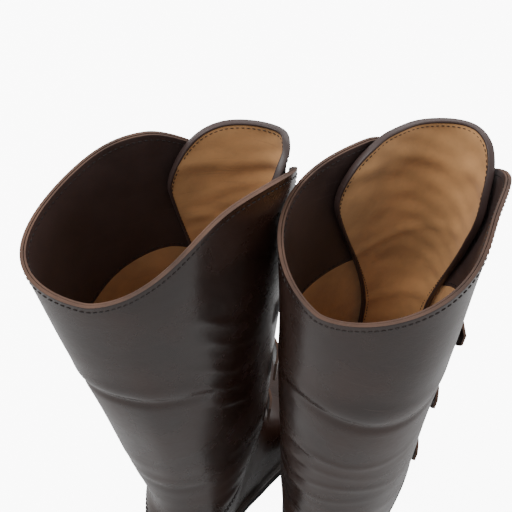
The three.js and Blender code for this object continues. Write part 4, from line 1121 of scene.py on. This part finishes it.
# ---- stage ----
def make_stage(view):
    scene = bpy.context.scene
    floor = mesh_of("floor", [(-4, -4, 0), (4, -4, 0), (4, 4, 0), (-4, 4, 0)], [(0, 1, 2, 3)], False)
    obj = bpy.data.objects.new("floor", floor)
    floor.materials.append(MATERIALS["floor"])
    scene.collection.objects.link(obj)
    for name, place, size, power, at in (
            ("key", (-0.7, -0.9, 1.9), (1.2, 0.9), view.key, (0, 0, 0.4)),
            ("side", (1.5, 0.4, 0.6), (0.5, 1.2), view.fill, (0, 0, 0.25)),
            ("back", (-1.5, 0.5, 0.7), (0.7, 1.2), view.fill, (0, 0, 0.25)),
            ("top", (0.1, 1.1, 1.6), (1.6, 0.9), view.top, (0, 0.3, 0.2))):
        lamp = bpy.data.lights.new(name, "AREA")
        lamp.shape, lamp.size, lamp.size_y, lamp.energy = "RECTANGLE", size[0], size[1], power
        lamp_obj = bpy.data.objects.new(name, lamp)
        lamp_obj.location = place
        lamp_obj.rotation_euler = (Vector(at) - Vector(place)).to_track_quat("-Z", "Y").to_euler()
        scene.collection.objects.link(lamp_obj)
    world = bpy.data.worlds.new("studio")
    scene.world = world
    world.use_nodes = True
    add = nodes_of(world.node_tree)
    split = add("ShaderNodeSeparateXYZ", Vector=add("ShaderNodeTexCoord").outputs["Generated"])
    height = add("ShaderNodeMapRange", _interpolation_type="SMOOTHSTEP", From_Min=-0.1, From_Max=0.7,
                 To_Min=0.3, To_Max=0.9, Value=split.outputs["Z"])
    back = add("ShaderNodeBackground", Strength=height.outputs["Result"])
    add("ShaderNodeOutputWorld", Surface=back.outputs["Background"])
    camera = bpy.data.cameras.new("camera")
    camera.lens, camera.sensor_width = view.lens, 36.0
    eye = bpy.data.objects.new("camera", camera)
    eye.location = view.eye
    turn, pitch, roll = view.heading, view.pitch, view.roll
    ahead = Vector((-math.sin(turn) * math.cos(pitch), math.cos(turn) * math.cos(pitch), -math.sin(pitch)))
    eye.rotation_mode = "QUATERNION"
    level = ahead.to_track_quat("-Z", "Y")
    eye.rotation_quaternion = Quaternion(ahead, -roll) @ level
    scene.collection.objects.link(eye)
    scene.camera = eye


# ---- settings, operators and panel ----
def angle_property(name, text, degrees):
    return bpy.props.FloatProperty(
        name=name, description=text, subtype="ANGLE", unit="ROTATION", default=math.radians(degrees))


def power_property(name, text, watts):
    return bpy.props.FloatProperty(name=name, description=text, subtype="POWER", default=watts)


class BOOTS_PG_colours(bpy.types.PropertyGroup):
    """Colours of the leathers."""

    upper: bpy.props.FloatVectorProperty(
        name="Upper", description="Tone of the polished leather", subtype="COLOR", size=3, min=0, max=1,
        default=(0.034, 0.0145, 0.0095))
    lining: bpy.props.FloatVectorProperty(
        name="Lining", description="Tone of the tan lining", subtype="COLOR", size=3, min=0, max=1,
        default=(0.68, 0.36, 0.15))


class BOOTS_PG_view(bpy.types.PropertyGroup):
    """Camera and lights."""

    eye: bpy.props.FloatVectorProperty(
        name="Eye", description="Where the camera stands", subtype="TRANSLATION", unit="LENGTH", size=3,
        default=(0.1103, -0.3723, 0.6879))
    heading: angle_property("Heading", "Turn of the camera from +Y", 22.08)
    pitch: angle_property("Pitch", "How far the camera looks down", 42.9)
    roll: angle_property("Roll", "Turn of the camera about its own line of sight", 3.83)
    lens: bpy.props.FloatProperty(
        name="Lens", description="Focal length on a 36 mm sensor", subtype="DISTANCE_CAMERA", default=52.62)
    key: power_property("Key", "Power of the key light", 26.0)
    fill: power_property("Fill", "Power of each side light", 9.0)
    top: power_property("Top", "Power of the overhead light", 14.0)


class Step:
    """What every step does: runs its build and reports it finished."""

    def execute(self, context):
        self.build(context.scene)
        return {"FINISHED"}


def both(make):
    for side in SIDES:
        make(BOOTS[side])


class BOOTS_OT_materials(Step, bpy.types.Operator):
    """Makes the leathers, metal, rubber and thread"""

    bl_idname = "boots.materials"
    bl_label = "Materials"

    def build(self, scene):
        make_materials(scene.boots_colours)


class BOOTS_OT_uppers(Step, bpy.types.Operator):
    """Makes the shafts, feet, facings and linings with their seams"""

    bl_idname = "boots.uppers"
    bl_label = "Uppers"

    def build(self, scene):
        both(make_upper)


class BOOTS_OT_bottoms(Step, bpy.types.Operator):
    """Makes the outsoles, welts and heels"""

    bl_idname = "boots.bottoms"
    bl_label = "Bottoms"

    def build(self, scene):
        both(make_bottom)


class BOOTS_OT_tongues(Step, bpy.types.Operator):
    """Makes the lined and bound tongues"""

    bl_idname = "boots.tongues"
    bl_label = "Tongues"

    def build(self, scene):
        both(make_tongue)


class BOOTS_OT_closures(Step, bpy.types.Operator):
    """Makes the straps, chapes, buckles, prongs and keepers"""

    bl_idname = "boots.closures"
    bl_label = "Straps and Buckles"

    def build(self, scene):
        both(lambda boot: [make_closure(boot, place) for place in PLACES])


class BOOTS_OT_stage(Step, bpy.types.Operator):
    """Makes the floor, lights and camera"""

    bl_idname = "boots.stage"
    bl_label = "Stage"

    def build(self, scene):
        make_stage(scene.boots_view)


STEPS = (BOOTS_OT_materials, BOOTS_OT_uppers, BOOTS_OT_bottoms, BOOTS_OT_tongues, BOOTS_OT_closures,
         BOOTS_OT_stage)


class BOOTS_PT_panel(bpy.types.Panel):
    """Lists the steps that build the boots"""

    bl_idname = "BOOTS_PT_panel"
    bl_label = "Riding Boots"
    bl_space_type = "VIEW_3D"
    bl_region_type = "UI"
    bl_category = "Boots"

    def draw(self, context):
        for group in (context.scene.boots_colours, context.scene.boots_view):
            for name in group.__annotations__:
                self.layout.prop(group, name)
        for step in STEPS:
            self.layout.operator(step.bl_idname)


CLASSES = (BOOTS_PG_colours, BOOTS_PG_view, *STEPS, BOOTS_PT_panel)


def register():
    for one in CLASSES:
        bpy.utils.register_class(one)
    bpy.types.Scene.boots_colours = bpy.props.PointerProperty(type=BOOTS_PG_colours)
    bpy.types.Scene.boots_view = bpy.props.PointerProperty(type=BOOTS_PG_view)


def unregister():
    del bpy.types.Scene.boots_view
    del bpy.types.Scene.boots_colours
    for one in reversed(CLASSES):
        bpy.utils.unregister_class(one)


def main():
    register()
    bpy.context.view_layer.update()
    for step in STEPS:
        category, name = step.bl_idname.split(".")
        getattr(getattr(bpy.ops, category), name)()


if __name__ == "__main__":
    main()
